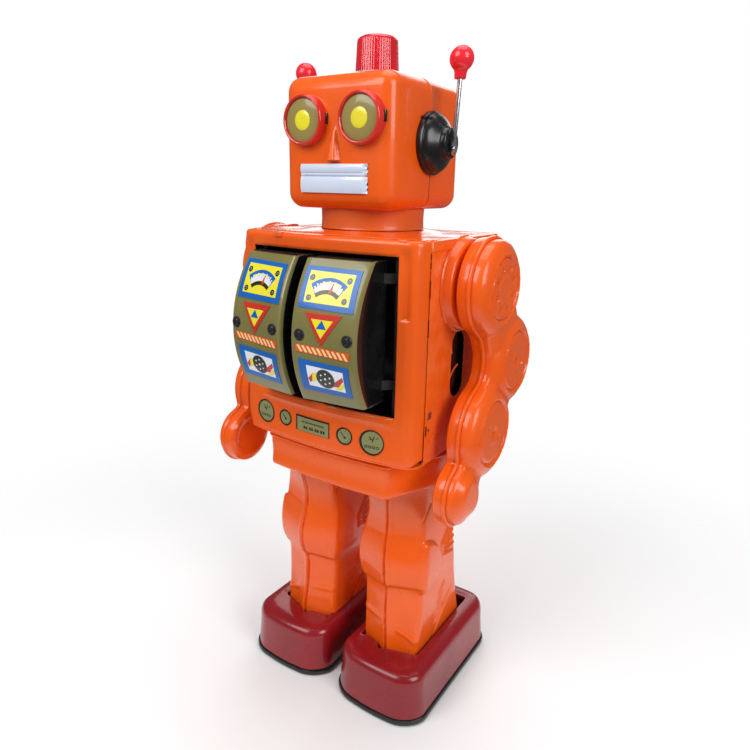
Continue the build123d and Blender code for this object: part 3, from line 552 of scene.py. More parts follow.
def small_box(sheet, low, high, radius=0.25, slot=0):
    """Little block with soft edges."""
    low, high = np.array(low, float), np.array(high, float)
    lines = []
    for k in range(3):
        r = min(radius, (high[k] - low[k]) * 0.3)
        lines.append(np.array([low[k], low[k] + r, high[k] - r, high[k]]))
    r = min(radius, float(np.min(high - low)) * 0.3)
    round_box(sheet, low, high, r, lines, slot_of=lambda p: slot)


# ---------------------------------------------------------------- head
(_, HEAD_FRONT, HEAD_BOTTOM), (HEAD_HALF, HEAD_SEAM, HEAD_TOP) = box("head_front_shell")
HEAD_BACK = box("head_rear_shell")[1][1]
HEAD_RADIUS = 6.5
NOSE_TOP, NOSE_BOTTOM = 268.5, 256.0


def head_relief(points, normals):
    x, y, z = points.T
    front = np.clip(-normals[:, 1], 0, 1) ** 4
    moved = points.copy()
    flat = HEAD_HALF - HEAD_RADIUS
    t = np.clip((NOSE_TOP - z) / (NOSE_TOP - NOSE_BOTTOM), 0, 1)
    half = 1.0 + 3.0 * t
    nose = (2.7 * t ** 0.8 + 0.2) * ramp(0, 1, 1.5 * (1 - np.abs(x) / half))
    nose *= (z < NOSE_TOP) * ramp(NOSE_BOTTOM - 0.7, NOSE_BOTTOM + 0.1, z)
    moved[:, 1] -= front * nose
    brow = 0.35 * bump(0, flat, x) * bump(272, 14, z)
    moved[:, 1] += front * brow * 0.6
    across = 1 - np.clip(np.abs(y - HEAD_SEAM) / 0.45, 0, 1) ** 2
    moved -= normals * (0.55 * across)[:, None]
    rear = (y > HEAD_SEAM + 0.3) * 0.22
    moved -= normals * rear[:, None]
    edge = 0.25 * bump(HEAD_SEAM - 1.3, 0.9, y)
    moved += normals * edge[:, None]
    dents = 0.10 * np.sin(0.21 * x + 0.7) * np.sin(0.17 * z + 0.3) * np.cos(0.19 * y)
    return moved + normals * dents[:, None]


def head_sheets():
    nose_x = np.arange(-4.6, 4.7, 0.45)
    nose_z = np.concatenate([np.arange(NOSE_BOTTOM - 1.2, NOSE_BOTTOM + 0.8, 0.25), np.arange(257, 270, 0.9)])
    seam_y = HEAD_SEAM + np.array([-2.2, -1.8, -1.3, -0.9, -0.45, -0.25, 0, 0.25, 0.45, 0.75])
    lines = [edge_lines(-HEAD_HALF, HEAD_HALF, HEAD_RADIUS, 2.0, nose_x),
             edge_lines(HEAD_FRONT, HEAD_BACK, HEAD_RADIUS, 2.2, seam_y),
             edge_lines(HEAD_BOTTOM, HEAD_TOP, HEAD_RADIUS, 2.2, nose_z)]
    whole = Sheet()
    dark = lambda p: 1 if abs(p[1] - HEAD_SEAM) < 0.40 else 0
    round_box(whole, (-HEAD_HALF, HEAD_FRONT, HEAD_BOTTOM), (HEAD_HALF, HEAD_BACK, HEAD_TOP), HEAD_RADIUS, lines,
              head_relief, dark)
    return split(whole, lambda p: p[1] < HEAD_SEAM)


for part, sheet, facing in zip(("front", "rear"), head_sheets(), (-1, 1)):
    make_piece(f"head_{part}_pressing", sheet, [ORANGE, SEAM_DARK], "torso", "orange_tin", (f"head_{part}_shell",),
               outward=(0, facing, 0))

# eyes
BEZEL_FRONT = box("eye_bezels")[0][1]
EYE_Z = middle_of("eye_bezels")[0][2]
BEZEL_R = middle_of("eye_bezels")[1][2]
EYE_X = box("eye_bezels")[1][0] - BEZEL_R
DISC_FRONT = box("eye_discs")[0][1]
DISC_R = middle_of("eye_discs")[1][2]
PUPIL_R = 3.95
bezels, discs, eye_slots = Sheet(), Sheet(), Sheet()
wall = around(HEAD_FRONT, BEZEL_R, [(1.0, 0.1), (-0.35, 0.1), (-0.8, -0.1), (-2.0, -0.15)])
wall += around(BEZEL_FRONT, BEZEL_R, [(1.1, -0.2), (0.5, -0.3), (0.12, -0.6), (0, -0.95), (0.1, -1.25)])
wall = [(HEAD_FRONT + 1.0, DISC_R), *wall, (BEZEL_FRONT + 0.45, DISC_R), (HEAD_FRONT + 1.0, DISC_R)]
border = around(DISC_FRONT, DISC_R, [(0.30, 0.05), (0.05, -0.35), (0, -0.5)])
iris = [(DISC_FRONT, DISC_R - 0.5), *around(DISC_FRONT, PUPIL_R, [(-0.05, 0.3), (-0.05, 0)])]
pupil = around(DISC_FRONT, PUPIL_R, [(-0.05, 0), (-0.12, -0.15), (-0.16, 2.0 - PUPIL_R)])
for eye_x in (-EYE_X, EYE_X):
    at_eye = lambda along, side, up: (eye_x + side, along, EYE_Z + up)
    lathe(bezels, wall, at_eye, 72)
    lathe(discs, border, at_eye, 72, slot=1)
    lathe(discs, iris, at_eye, 72)
    discs.cap(lathe(discs, pupil, at_eye, 72, slot=2)[-1], 2)
    small_box(eye_slots, (eye_x + BEZEL_R - 0.6, HEAD_FRONT - 0.75, EYE_Z - 1.6),
              (eye_x + BEZEL_R + 0.6, HEAD_FRONT + 0.6, EYE_Z + 2.6), 0.15)
make_piece("eye_bezel_rings", bezels, [BEZEL_RED], "torso", "red_plastic", ("eye_bezels",))
make_piece("eye_printed_discs", discs, [EYE_OLIVE, OLIVE_EDGE, YELLOW], "torso", "pale_print", ("eye_discs",),
           outward=(0, -1, 0))
make_piece("eye_tab_slots", eye_slots, [INK], "torso", "black_plastic")

# mouth: two rolled bars with a crimped end
MOUTH_BACK = HEAD_FRONT + 0.3
(_, MOUTH_FRONT, MOUTH_LOW), (MOUTH_HALF, _, MOUTH_HIGH) = box("mouth_plate")
MOUTH_GROOVE = MOUTH_LOW + 0.59 * (MOUTH_HIGH - MOUTH_LOW)
mouth = Sheet()
columns = []
for x in np.concatenate([np.linspace(-MOUTH_HALF, MOUTH_HALF - 3, 30), np.linspace(MOUTH_HALF - 2.4, MOUTH_HALF, 7)]):
    outline = [(MOUTH_BACK, MOUTH_LOW + 0.2), (MOUTH_FRONT + 1.0, MOUTH_LOW)]
    for low, high, bulge in ((MOUTH_LOW, MOUTH_GROOVE - 0.25, 0.75), (MOUTH_GROOVE + 0.1, MOUTH_GROOVE + 1.1, 0.35),
                             (MOUTH_GROOVE + 1.2, MOUTH_HIGH, 0.7)):
        for t in np.linspace(0, 1, 8):
            swell = bulge * math.sin(math.pi * (0.08 + 0.84 * t)) ** 0.6
            outline.append((MOUTH_FRONT + 0.75 - swell, low + (high - low) * t))
        outline.append((MOUTH_FRONT + 1.0, high + 0.05))
    outline.append((MOUTH_BACK, MOUTH_HIGH - 0.2))
    near_end = float(ramp(MOUTH_HALF - 2.6, MOUTH_HALF, x))
    row = []
    for y, z in outline:
        crimp = near_end * (0.24 * math.sin(2.1 * z + 0.4) + 0.2 * math.sin(4.7 * z))
        row.append((x + crimp, y + near_end * (0.9 + 0.5 * math.sin(3.3 * z)), z))
    columns.append(row)
rings = mouth.rows(columns)
mouth.cap(rings[0])
mouth.cap(rings[-1], 1)
make_piece("mouth_rolled_bars", mouth, [MOUTH, SEAM_DARK], "torso", "pale_print", ("mouth_plate",), flat_angle=50)

# ears
EAR_Z = middle_of("ear_housings")[0][2]
EAR_R = middle_of("ear_housings")[1][2]
EAR_CAP = box("ear_housings")[1][0]
ear_profile = around(HEAD_HALF, EAR_R, [(-0.6, -0.4), (0.1, 0), (1.7, 0), (2.1, -0.25), (2.3, -0.7), (2.5, -0.85),
                                        (3.0, -0.8)])
ear_profile += smooth_profile(around(HEAD_HALF, EAR_R, [(3.4, -1.0), (4.6, -1.9), (5.7, -3.2), (6.9, -4.9),
                                                        (7.7, -6.0)]))
ear_profile += around(EAR_CAP, 0, [(-2.1, 6.9), (-1.9, 6.5), (-0.7, 6.3), (-0.25, 6.05), (0, 5.6), (0, 4.4),
                                   (-0.5, 4.1), (-0.5, 0.01)])
ear = Sheet()
at_ear = lambda along, across, up: (along, HEAD_SEAM + across, EAR_Z + up)
ear.cap(lathe(ear, ear_profile, at_ear, 80)[0])
for angle, reach in ((100, 10.9), (126, 11.4)):
    a = math.radians(angle)
    y, z = HEAD_SEAM + reach * math.cos(a), EAR_Z + reach * math.sin(a)
    small_box(ear, (HEAD_HALF + 2.2, y - 1.5, z - 0.5), (HEAD_HALF + 4.0, y + 1.5, z + 0.9), 0.3)
small_box(ear, (HEAD_HALF - 0.2, HEAD_SEAM - 9.6, EAR_Z + 8.6), (HEAD_HALF + 2.5, HEAD_SEAM - 7.6, EAR_Z + 10.4), 0.5)
make_pair("{}_ear_moulding", ear, [BLACK_PLASTIC], "torso", "black_plastic", "ear_housings")

# antennas
ROD_X, BALL_Y, _ = middle_of("left_antenna_ball")[0]
PIVOT_Z = box("left_antenna_rod")[0][2] + 2.7
BALL_R = middle_of("left_antenna_ball")[1][1]
BALL_Z = box("left_antenna_ball")[1][2] - BALL_R
NECK_Z = BALL_Z - BALL_R
wire, ball = Sheet(), Sheet()
upright = lambda along, across, up: (ROD_X - 0.6 + 1.8 * (along - PIVOT_Z) / (BALL_Z - PIVOT_Z) + across,
                                     BALL_Y + up, along)
stem = [*around(PIVOT_Z, 0, [(3.2, 0.55), (4.6, 0.95), (6, 1.0)]), (NECK_Z, 1.0)]
wire.cap_ends(lathe(wire, stem, upright, 24))
eye = [[(ROD_X - 0.35 + thick, BALL_Y + 2.0 * math.cos(a) * (1 - 0.35 * max(0, math.sin(a))),
         PIVOT_Z + 0.8 + 3.9 * math.sin(a)) for a in np.arange(40) * math.pi / 20] for thick in (-0.55, 0.45)]
wire.cap_ends(wire.rows(eye))
rivet = lambda along, across, up: (ROD_X + along, BALL_Y + across, PIVOT_Z - 0.4 + up)
wire.cap_ends(lathe(wire, [(-0.2, 1.25), (0.35, 1.15), (0.62, 0.7), (0.7, 0.05)], rivet, 20))
shape = around(NECK_Z, 0, [(-2.6, 1.1), (-2.6, 2.1), (-2.3, 2.4), (-0.4, 2.55), (0.35, 2.75)])
for angle in np.radians(np.linspace(-52, 88, 40)):
    groove = 0.12 * float(bump(0, 0.035, angle)) - 0.08 * float(bump(0.07, 0.03, angle))
    shape.append((BALL_Z + (BALL_R - groove) * math.sin(angle), (BALL_R - groove) * math.cos(angle)))
ball.cap_ends(lathe(ball, shape, upright, 48))
make_pair("{}_antenna_wire", wire, [CHROME], "{}_antenna", "bright_steel", "{}_antenna_rod")
make_pair("{}_antenna_knob", ball, [RED_PLASTIC], "{}_antenna", "red_plastic", "{}_antenna_ball")

# lamp dome
LENS_R, _, LENS_TOP = box("dome_lens")[1]
FLANGE_R, _, FLANGE_TOP = box("dome_flange")[1]
LENS_Y = middle_of("dome_lens")[0][1]
dome = Sheet()
upright = lambda along, across, up: (across, LENS_Y + up, along)
lens_wall = [(HEAD_TOP + 0.2, LENS_R), (HEAD_TOP + 4, LENS_R - 0.05), (LENS_TOP - 3.0, LENS_R - 0.62)]
for a in np.radians(np.linspace(10, 90, 9)):
    lens_wall.append((LENS_TOP - 2.6 + 2.4 * math.sin(a), LENS_R - 3.1 + 2.45 * math.cos(a)))
lens_wall += [(LENS_TOP - 0.05, LENS_R - 4.5), (LENS_TOP, 0.05)]
ribs = lambda along, angle, radius: 0.05 * math.cos(56 * angle) * float(radius > LENS_R - 1.2)
rings = lathe(dome, lens_wall, upright, 336, wobble=ribs)
inner_wall = [(LENS_TOP - 1.0, 0.05), (LENS_TOP - 1.0, LENS_R - 3.4), (LENS_TOP - 3.0, LENS_R - 1.6),
              (HEAD_TOP + 0.2, LENS_R - 1.0)]
rings2 = lathe(dome, inner_wall, upright, 336)
dome.bridge(rings2[-1], rings[0])
dome.cap(rings[-1])
dome.cap(rings2[0])
make_piece("dome_lens_moulding", dome, [DOME_RED], "torso", "red_lens", ("dome_lens",))
trim = Sheet()
trim_profile = [(HEAD_TOP - 0.3, LENS_R + 0.2)]
trim_profile += around(HEAD_TOP, FLANGE_R, [(-0.3, 0), (0.5, 0.05), (1.1, -0.3), (1.5, -1.4)])
trim_profile += around(FLANGE_TOP, LENS_R, [(-1.0, 2.5), (-0.2, 1.5), (0, 0.3)])
trim_profile += trim_profile[:1]
lathe(trim, trim_profile, upright, 192,
      wobble=lambda along, angle, radius: 0.16 * math.cos(32 * angle) * float(radius > LENS_R + 1.2))
make_piece("dome_trim_ring", trim, [CLEAR], "torso", "clear_trim", ("dome_flange",))

# neck collar
COLLAR_R = box("neck_collar")[1][0]
TORSO_TOP = box("neck_collar")[0][2]
CROWN = 1.2
foot_z = TORSO_TOP + CROWN
collar = Sheet()
upright = lambda along, across, up: (across, up, along)
foot = around(TORSO_TOP, COLLAR_R, [(-0.2, -1.2), (-0.2, -0.35)])
bead = around(foot_z, COLLAR_R, [(0.3, -0.35), (0.35, 0.15), (0.6, 0.3), (0.9, 0.1), (1.4, 0), (4.5, -0.12)])
flare = around(HEAD_BOTTOM, COLLAR_R, [(-1.0, 0), (-0.3, 0.15), (0.2, 0.1), (0.2, -1.2)])
lathe(collar, [*foot, bead[0]], upright, 96, slot=1)
lathe(collar, [*bead, *flare, foot[0]], upright, 96)
make_piece("neck_collar_pressing", collar, [COLLAR_PAINTED_SHADE, SEAM_DARK], "torso", "orange_tin", ("neck_collar",))

# ---------------------------------------------------------------- torso
TORSO_HALF, SEAM_Y, _ = box("body_front_panel")[1]
TORSO_FRONT = box("body_front_panel")[0][1]
TORSO_BACK = box("body_rear_shell")[1][1]
TORSO_BOTTOM = box("body_bottom_plate")[0][2]
CORNER_Y = TORSO_FRONT + 4.8
CORNER_R = 7.0
OPEN_HALF, OPEN_LOW, OPEN_HIGH = 38.0, 154.0, 220.0


def torso_front(x):
    """Crowned front of the torso between its round corners."""
    return TORSO_FRONT + (CORNER_Y - TORSO_FRONT) * (np.asarray(x, float) / TORSO_HALF) ** 2


def front_path():
    """Plan of the front pan from the right seam to the left seam, with outward normals."""
    flat = TORSO_HALF - CORNER_R
    points, normals = [], []
    turn_y = float(torso_front(flat)) + CORNER_R
    for y in np.linspace(SEAM_Y, turn_y, 3)[:-1]:
        points.append((-TORSO_HALF, y))
        normals.append((-1, 0))
    for a in np.radians(np.linspace(180, 270, 12))[:-1]:
        points.append((-flat + CORNER_R * math.cos(a), turn_y + CORNER_R * math.sin(a)))
        normals.append((math.cos(a), math.sin(a)))
    xs = np.unique(np.round(np.concatenate([np.linspace(-flat, flat, 44), [-OPEN_HALF, OPEN_HALF]]), 4))
    for x in xs:
        points.append((x, float(torso_front(x))))
        normals.append((0, -1))
    left = [(-x, y) for x, y in points[:13][::-1]], [(-nx, ny) for nx, ny in normals[:13][::-1]]
    return np.array(points + left[0]), np.array(normals + left[1])


def pan_relief(x, z):
    """Pressed pattern of the front pan: upright rails beside the doors, a ledge, and a ridge below the opening."""
    side = np.abs(x)
    rail = 0.55 * bump(44.9, 1.9, side) * plateau(136, 222, 4, z)
    recess = -0.9 * plateau(38.6, 42.6, 0.8, side) * ramp(194.5, 196, z) * (1 - ramp(221, 223, z))
    ridge = 0.6 * bump(150.6, 1.2, z) * plateau(-37, 37, 3, x)
    sag = 0.25 * np.sin(0.11 * x + 0.4) * bump(143, 10, z)
    return rail + recess + ridge + sag


def front_pan():
    sheet = Sheet()
    path, normals = front_path()
    heights = np.unique(np.round(np.concatenate([np.linspace(TORSO_BOTTOM + 1.6, OPEN_LOW, 14),
                                                 np.linspace(OPEN_LOW, OPEN_HIGH, 30),
                                                 np.linspace(193, 197, 7),
                                                 np.linspace(OPEN_HIGH, TORSO_TOP - 1.8, 4)]), 3))
    profile = around(0, TORSO_BOTTOM, [(2.2, 0.5), (1.2, 0), (0.5, 0.25), (0.12, 0.8)])
    profile += [(0.0, z) for z in heights]
    profile += around(0, TORSO_TOP, [(0.1, -1.1), (0.45, -0.4), (1.1, 0), (2.4, 0.15), (5.2, 0.2)])
    rows, kept = [], []
    for inset, z in profile:
        lift = 2.6 * np.clip((np.abs(path[:, 0]) - 43.0) / 4.4, 0, 1) ** 2.2
        zs = np.where(z < 146, z + lift * (146 - z) / 14.0, z)
        push = pan_relief(path[:, 0], zs) * (1 if inset < 0.6 else 0)
        moved = path - normals * inset + normals * push[:, None]
        rows.append(np.column_stack([moved, zs]))
        kept.append(z)
    ids = [sheet.add(r) for r in rows]
    for i in range(len(rows) - 1):
        for j in range(len(path) - 1):
            x = (path[j, 0] + path[j + 1, 0]) / 2
            z = (kept[i] + kept[i + 1]) / 2
            on_front = normals[j, 1] < -0.99 and normals[j + 1, 1] < -0.99
            if on_front and abs(x) < OPEN_HALF and OPEN_LOW < z < OPEN_HIGH:
                continue
            sheet.face((ids[i][j], ids[i][j + 1], ids[i + 1][j + 1], ids[i + 1][j]))
    return sheet


make_piece("front_pan_pressing", front_pan(), [ORANGE], "torso", "orange_tin", ("body_front_panel",), thickness=0.6,
           outward=(0, -1, 0))

top = Sheet()
low_y, high_y = SEAM_Y - 0.4, TORSO_BACK + 1.0
rim = rounded_rectangle((-TORSO_HALF - 0.75, low_y), (TORSO_HALF + 0.75, high_y), 1.6, 5, 3.0)
middle = rim.mean(axis=0)
profile = around(0, TORSO_TOP, [(0.55, -4.2), (0, -4.1), (0, -0.7), (0.25, -0.15), (0.8, 0.1)])
shrink = lambda inset: middle + (rim - middle) * (1 - inset / np.array([TORSO_HALF, (high_y - low_y) / 2]))
rings = top.rows([[(x, y, z) for x, y in shrink(inset)] for inset, z in profile])
dish = lambda p: [(x, y, TORSO_TOP + 0.1 + CROWN * float(ramp(33, 25, math.hypot(x, y)))
                   + 0.12 * math.sin(0.2 * x) * math.sin(0.23 * y)) for x, y in p]
top.fill(rings[-1], shrink(0.8), dish, step=3.0)
top.cap(rings[0])
for x0, y0 in ((36.5, CORNER_Y - 1.2), (-23.5, TORSO_FRONT + 0.3), (-41.5, CORNER_Y + 0.2)):
    small_box(top, (x0, y0, TORSO_TOP - 1.9), (x0 + 4.2, y0 + 2.6, TORSO_TOP + 0.5), 0.5)
make_piece("top_plate_pressing", top, [ORANGE], "torso", "orange_tin", ("body_top_plate",))

# dark slots, tab and rivets on both sides of the torso
marks = Print(lambda u, v, lift: (TORSO_HALF + lift, u, v))
SLOT_DARK, TAB_STEEL, PRESSED = 0, 1, 2
for low, high, width in ((203.9, 210.8, 0.9), (188.0, 195.2, 0.8), (215.5, 217.6, 0.8), (219.0, 221.0, 0.6)):
    marks.stroke((SEAM_Y, low), (SEAM_Y, high), width, 0.12, SLOT_DARK)
marks.stroke((SEAM_Y, TORSO_BOTTOM + 1.5), (SEAM_Y, 221.5), 0.28, 0.10, SLOT_DARK)
marks.stroke((SEAM_Y + 1.6, 145.2), (SEAM_Y + 1.6, 149.4), 1.0, 0.12, SLOT_DARK)
marks.disc((SEAM_Y + 3.7, 147.2), 0.55, 0.12, SLOT_DARK)
marks.rect(SEAM_Y + 2.6, 152.6, SEAM_Y + 5.0, 155.2, 0.45, TAB_STEEL)
marks.stroke((SEAM_Y + 2.4, 152.3), (SEAM_Y + 5.2, 152.3), 0.35, 0.12, SLOT_DARK)
marks.band((4, 181), 11.6, 12.3, 95, 200, 0.22, PRESSED, 20)
marks.band((1, 160), 10.4, 11.1, 100, 190, 0.22, PRESSED, 18)
make_pair("{}_side_details", marks.sheet, [SEAM_DARK, STEEL, ORANGE], "torso", "dark_steel")

# shoulder rings
RING_X = box("shoulder_rings")[1][0]
_, RING_Y, RING_Z = middle_of("shoulder_rings")[0]
RING_R = middle_of("shoulder_rings")[1][2]
shape = around(TORSO_HALF, RING_R, [(-0.3, -1.6), (-0.3, 1.2), (0.5, 1.2), (0.8, 0.7), (1.3, 0.35)])
shape += around(RING_X, RING_R, [(-1.4, 0), (-0.8, -0.5), (-0.5, -1.2), (-0.5, -6)]) + [(RING_X - 0.9, 3.0)]
notches = lambda along, angle, radius: -0.45 * float(radius > RING_R + 1 and math.cos(14 * angle) > 0.86)
shoulder = Sheet()
at_shoulder = lambda along, across, up: (along, RING_Y + across, RING_Z + up)
lathe(shoulder, shape, at_shoulder, 112, wobble=notches)
make_pair("{}_shoulder_ring", shoulder, [ORANGE], "torso", "orange_tin", "shoulder_rings", outward=(1, 0, 0))

# dials printed on the lower front
dials = Print(lambda u, v, lift: (u, float(torso_front(u)) - float(pan_relief(u, v)) - lift, v))
RIM, FACE, MARK = 0, 1, 2
DIALS = (((28.0, 141.4), 5.7, 0.45), ((14.7, 141.6), 4.0, 0.35), ((-19.4, 142.3), 3.8, 0.3), ((-32.6, 142.4), 5.6, 0.5))
for centre, radius, shift in DIALS:
    at = lambda dx, dz: (centre[0] + dx, centre[1] + dz)
    dials.disc(centre, radius, 0.35, RIM, 36, 2.5)
    dials.disc(at(shift, 0.5 * shift), radius - 0.75, 0.5, FACE, 36, 2.5)
    if radius > 5:
        for k in range(4):
            x, z = at(1.75 * k - 3.0, -2.4)
            dials.rect(x, z, x + 1.3, z + 1.1, 0.56, MARK)
            dials.rect(x + 0.3, z + 0.3, x + 1.0, z + 0.8, 0.60, FACE)
        for x0, z0, x1, z1, width in ((0.5, 0.4, 1.5, 3.2, 0.35), (-0.9, 2.9, 0.3, 1.4, 0.35),
                                      (-0.9, 1.6, 1.1, 1.6, 0.3), (2.4, 2.0, 3.2, 2.9, 0.3)):
            dials.stroke(at(x0, z0), at(x1, z1), width, 0.56, MARK)
    else:
        dials.stroke(at(-1.6, 1.9), at(0.7, -0.5), 0.4, 0.56, MARK)
        dials.disc(at(0.6, -0.4), 0.55, 0.58, MARK, 12)
        for k in range(6):
            a = math.radians(-70 + 28 * k)
            ends = [at(reach * math.cos(a), reach * math.sin(a)) for reach in (radius - 1.5, radius - 1.0)]
            dials.stroke(*ends, 0.22, 0.56, MARK)
dials.rect(-12.4, 138.6, 6.8, 145.9, 0.35, RIM, 2.5)
dials.rect(-11.5, 138.8, 6.6, 145.2, 0.5, FACE, 2.5)
for k in range(16):
    x = -8.4 + 0.8 * k
    dials.stroke((x, 143.3), (x + 0.45, 143.3), 0.7 if k % 3 else 0.9, 0.56, MARK)
for k in range(4):
    for x in (3.3 * k - 7.6, 3.3 * k - 6.3):
        dials.rect(x, 140.1, x + 0.95, 141.4, 0.56, MARK)
make_piece("printed_dials", dials.sheet, [INK, OLIVE_DIAL, INK], "torso", "olive_print")

# ---------------------------------------------------------------- chest doors
DOOR_IN, _, DOOR_LOW = box("left_door")[0]
DOOR_OUT, DOOR_HIGH = 31.8, box("left_door")[1][2]
DOOR_BACK = -36.6
PIN_X, PIN_Y = 34.9, -33.4


def door_front(x, z):
    """Front of the left door: bowed from bottom to top and turned a little outward."""
    low, middle, high = DOOR_LOW, (DOOR_LOW + DOOR_HIGH) / 2, DOOR_HIGH
    a = (z - middle) * (z - high) / ((low - middle) * (low - high))
    b = (z - low) * (z - high) / ((middle - low) * (middle - high))
    c = (z - low) * (z - middle) / ((high - low) * (high - middle))
    t = (x - DOOR_IN) / (DOOR_OUT - DOOR_IN)
    return a * (-54.3 + 3.1 * t) + b * (-61.2 + 2.4 * t) + c * (-50.7 + 3.6 * t)


def door_sheet():
    sheet = Sheet()
    fold = 2.5
    xs = np.linspace(DOOR_IN + 0.7, DOOR_OUT - 0.7, 16)
    columns = [(DOOR_IN, None, 2), (DOOR_IN, fold, 2), (DOOR_IN - 0.12, fold - 0.1, 1), (DOOR_IN - 0.12, 0.7, 1),
               (DOOR_IN + 0.1, 0.22, 1)]
    columns += [(x, 0.0, 0) for x in xs]
    columns += [(DOOR_OUT - 0.1, 0.22, 0), (DOOR_OUT + 0.12, 0.7, 1), (DOOR_OUT + 0.12, fold - 0.1, 1),
                (DOOR_OUT, fold, 1), (DOOR_OUT, None, 2)]
    rows = []
    for z in np.linspace(DOOR_LOW, DOOR_HIGH, 44):
        rows.append([(x, DOOR_BACK if back is None else float(door_front(x, z)) + back, z) for x, back, _ in columns])
    ids = [sheet.add(r) for r in rows]
    for a, b in zip(ids, ids[1:]):
        for j in range(len(columns) - 1):
            slot = max(columns[j][2], columns[j + 1][2]) if j < 5 or j > 18 else 0
            sheet.face((a[j], a[j + 1], b[j + 1], b[j]), slot)
    for end, edge, z in ((ids[0], 0.5, DOOR_LOW), (ids[-1], -0.5, DOOR_HIGH)):
        lip = [(x, DOOR_BACK if back is None else float(door_front(x, z)) + back + (2.0 if back < 1.5 else 0.2), z)
               for x, back, _ in columns]
        lip_ids = sheet.add(lip)
        sheet.bridge(end, lip_ids, closed=False, slot=1)
        back_ids = sheet.add([(x, DOOR_BACK, z) for x, _, _ in columns])
        sheet.bridge(lip_ids, back_ids, closed=False, slot=2)
    return sheet


def door_knuckles():
    """Two pairs of hinge arms with the tubes that turn on the door pins."""
    sheet = Sheet()
    arm = [(DOOR_OUT, DOOR_BACK - 1.9), (PIN_X + 0.8, PIN_Y - 1.6), (PIN_X - 1.2, PIN_Y + 1.2),
           (DOOR_OUT - 0.5, DOOR_BACK - 0.6), (DOOR_OUT - 0.5, DOOR_BACK - 1.9)]
    pin = lambda along, across, up: (PIN_X + across, PIN_Y + up, along)
    for z in (DOOR_LOW + 5, DOOR_HIGH - 9):
        sheet.cap_ends(lathe(sheet, [(z, 1.9), (z + 4, 1.9)], pin, 24))
        sheet.cap_ends(sheet.rows([[(x, y, height) for x, y in arm] for height in (z, z + 4)]))
    return sheet


PRINT_SPACING = 35.0


def door_print(offset):
    """Panel artwork of one door; offset moves it sideways onto the right door."""
    surface = lambda u, v, lift: (u + offset, float(door_front(PRINT_SPACING - u if offset else u, v)) - lift, v)
    art = Print(surface)
    BLUE_, YELLOW_, WHITE_, RED_, ORANGE_, STRIPE_, BLACK_, LILAC_ = range(8)
    art.add([(5.2, 215.6), (29.8, 215.0), (30.4, 199.6), (5.2, 200.0)], 0.30, BLUE_, 2.5)
    art.add([(7.3, 213.9), (27.6, 213.4), (27.9, 201.8), (7.6, 202.2)], 0.36, YELLOW_, 2.5)
    for x, z in ((9.0, 211.4), (25.7, 211.1), (9.5, 203.9), (25.6, 203.7)):
        art.disc((x, z), 1.15, 0.42, BLACK_, 18)
        art.disc((x, z), 0.50, 0.50, WHITE_, 12)
        art.disc((x, z), 0.42, 0.54, BLACK_, 10)
    hub = (17.4, 198.2)
    art.band(hub, 7.6, 13.5, 53, 127, 0.42, BLUE_, 18)
    art.band(hub, 9.2, 11.0, 54.5, 125.5, 0.47, LILAC_, 16)
    for k in range(11):
        a = 58 + 6.4 * k
        art.band(hub, 11.0, 12.3 if k % 2 else 11.8, a - 1.5, a + 1.5, 0.47, LILAC_, 3)
    art.band(hub, 7.6, 9.2, 53, 127, 0.50, BLACK_, 16)
    art.band(hub, 9.1, 9.35, 55, 125, 0.53, YELLOW_, 16)
    needle = math.radians(81)
    tip = (hub[0] + 11.8 * math.cos(needle), hub[1] + 11.8 * math.sin(needle))
    root = np.array([hub[0] + 7.9 * math.cos(needle), hub[1] + 7.9 * math.sin(needle)])
    art.add([tip, root + [0.75, 0.1], root - [0.75, -0.1]], 0.60, RED_)
    art.add([(9.4, 198.3), (25.9, 198.3), (17.5, 186.0)], 0.34, RED_, 2.5)
    art.add([(12.4, 196.1), (22.4, 196.1), (17.45, 188.9)], 0.44, YELLOW_, 2.5)
    art.add([(17.4, 196.0), (15.1, 192.6), (19.7, 192.6)], 0.50, BLUE_)
    strip = [(5.6, 185.6), (30.3, 184.6), (29.8, 181.3), (5.6, 182.6)]
    art.add(strip, 0.30, ORANGE_, 2.5)
    for k in range(10):
        x = 7.0 + 2.3 * k
        top_z = 185.3 - 0.040 * (x - 5.6)
        low_z = 182.75 - 0.050 * (x - 5.6)
        art.add([(x - 0.9, top_z), (x + 0.2, top_z), (x + 1.9, low_z), (x + 0.8, low_z)], 0.36, STRIPE_)
    art.add([(6.4, 179.6), (29.3, 178.6), (28.8, 165.2), (6.0, 165.8)], 0.30, BLUE_, 2.5)
    art.add([(9.9, 177.2), (26.7, 176.4), (26.4, 167.6), (9.8, 168.2)], 0.36, WHITE_, 2.5)
    art.add([(9.9, 171.4), (12.6, 174.2), (14.6, 173.6), (10.6, 169.6)], 0.42, RED_)
    art.add([(12.4, 174.0), (15.0, 174.6), (14.4, 171.2), (11.6, 170.0)], 0.45, YELLOW_)
    art.add([(26.3, 174.4), (22.6, 171.8), (20.6, 169.4), (23.6, 169.6), (26.4, 172.6)], 0.42, RED_)
    art.add([(26.4, 171.8), (23.4, 169.4), (21.6, 168.0), (24.6, 168.4), (26.4, 169.8)], 0.45, YELLOW_)
    centre = (18.2, 172.3)
    art.disc(centre, 4.1, 0.52, BLACK_, 32, 1.5)
    for k in range(6):
        a = math.radians(60 * k + 20)
        art.disc((centre[0] + 2.3 * math.cos(a), centre[1] + 2.3 * math.sin(a)), 0.38, 0.56, WHITE_, 10)
    art.disc(centre, 0.5, 0.56, WHITE_, 12)
    return art.sheet


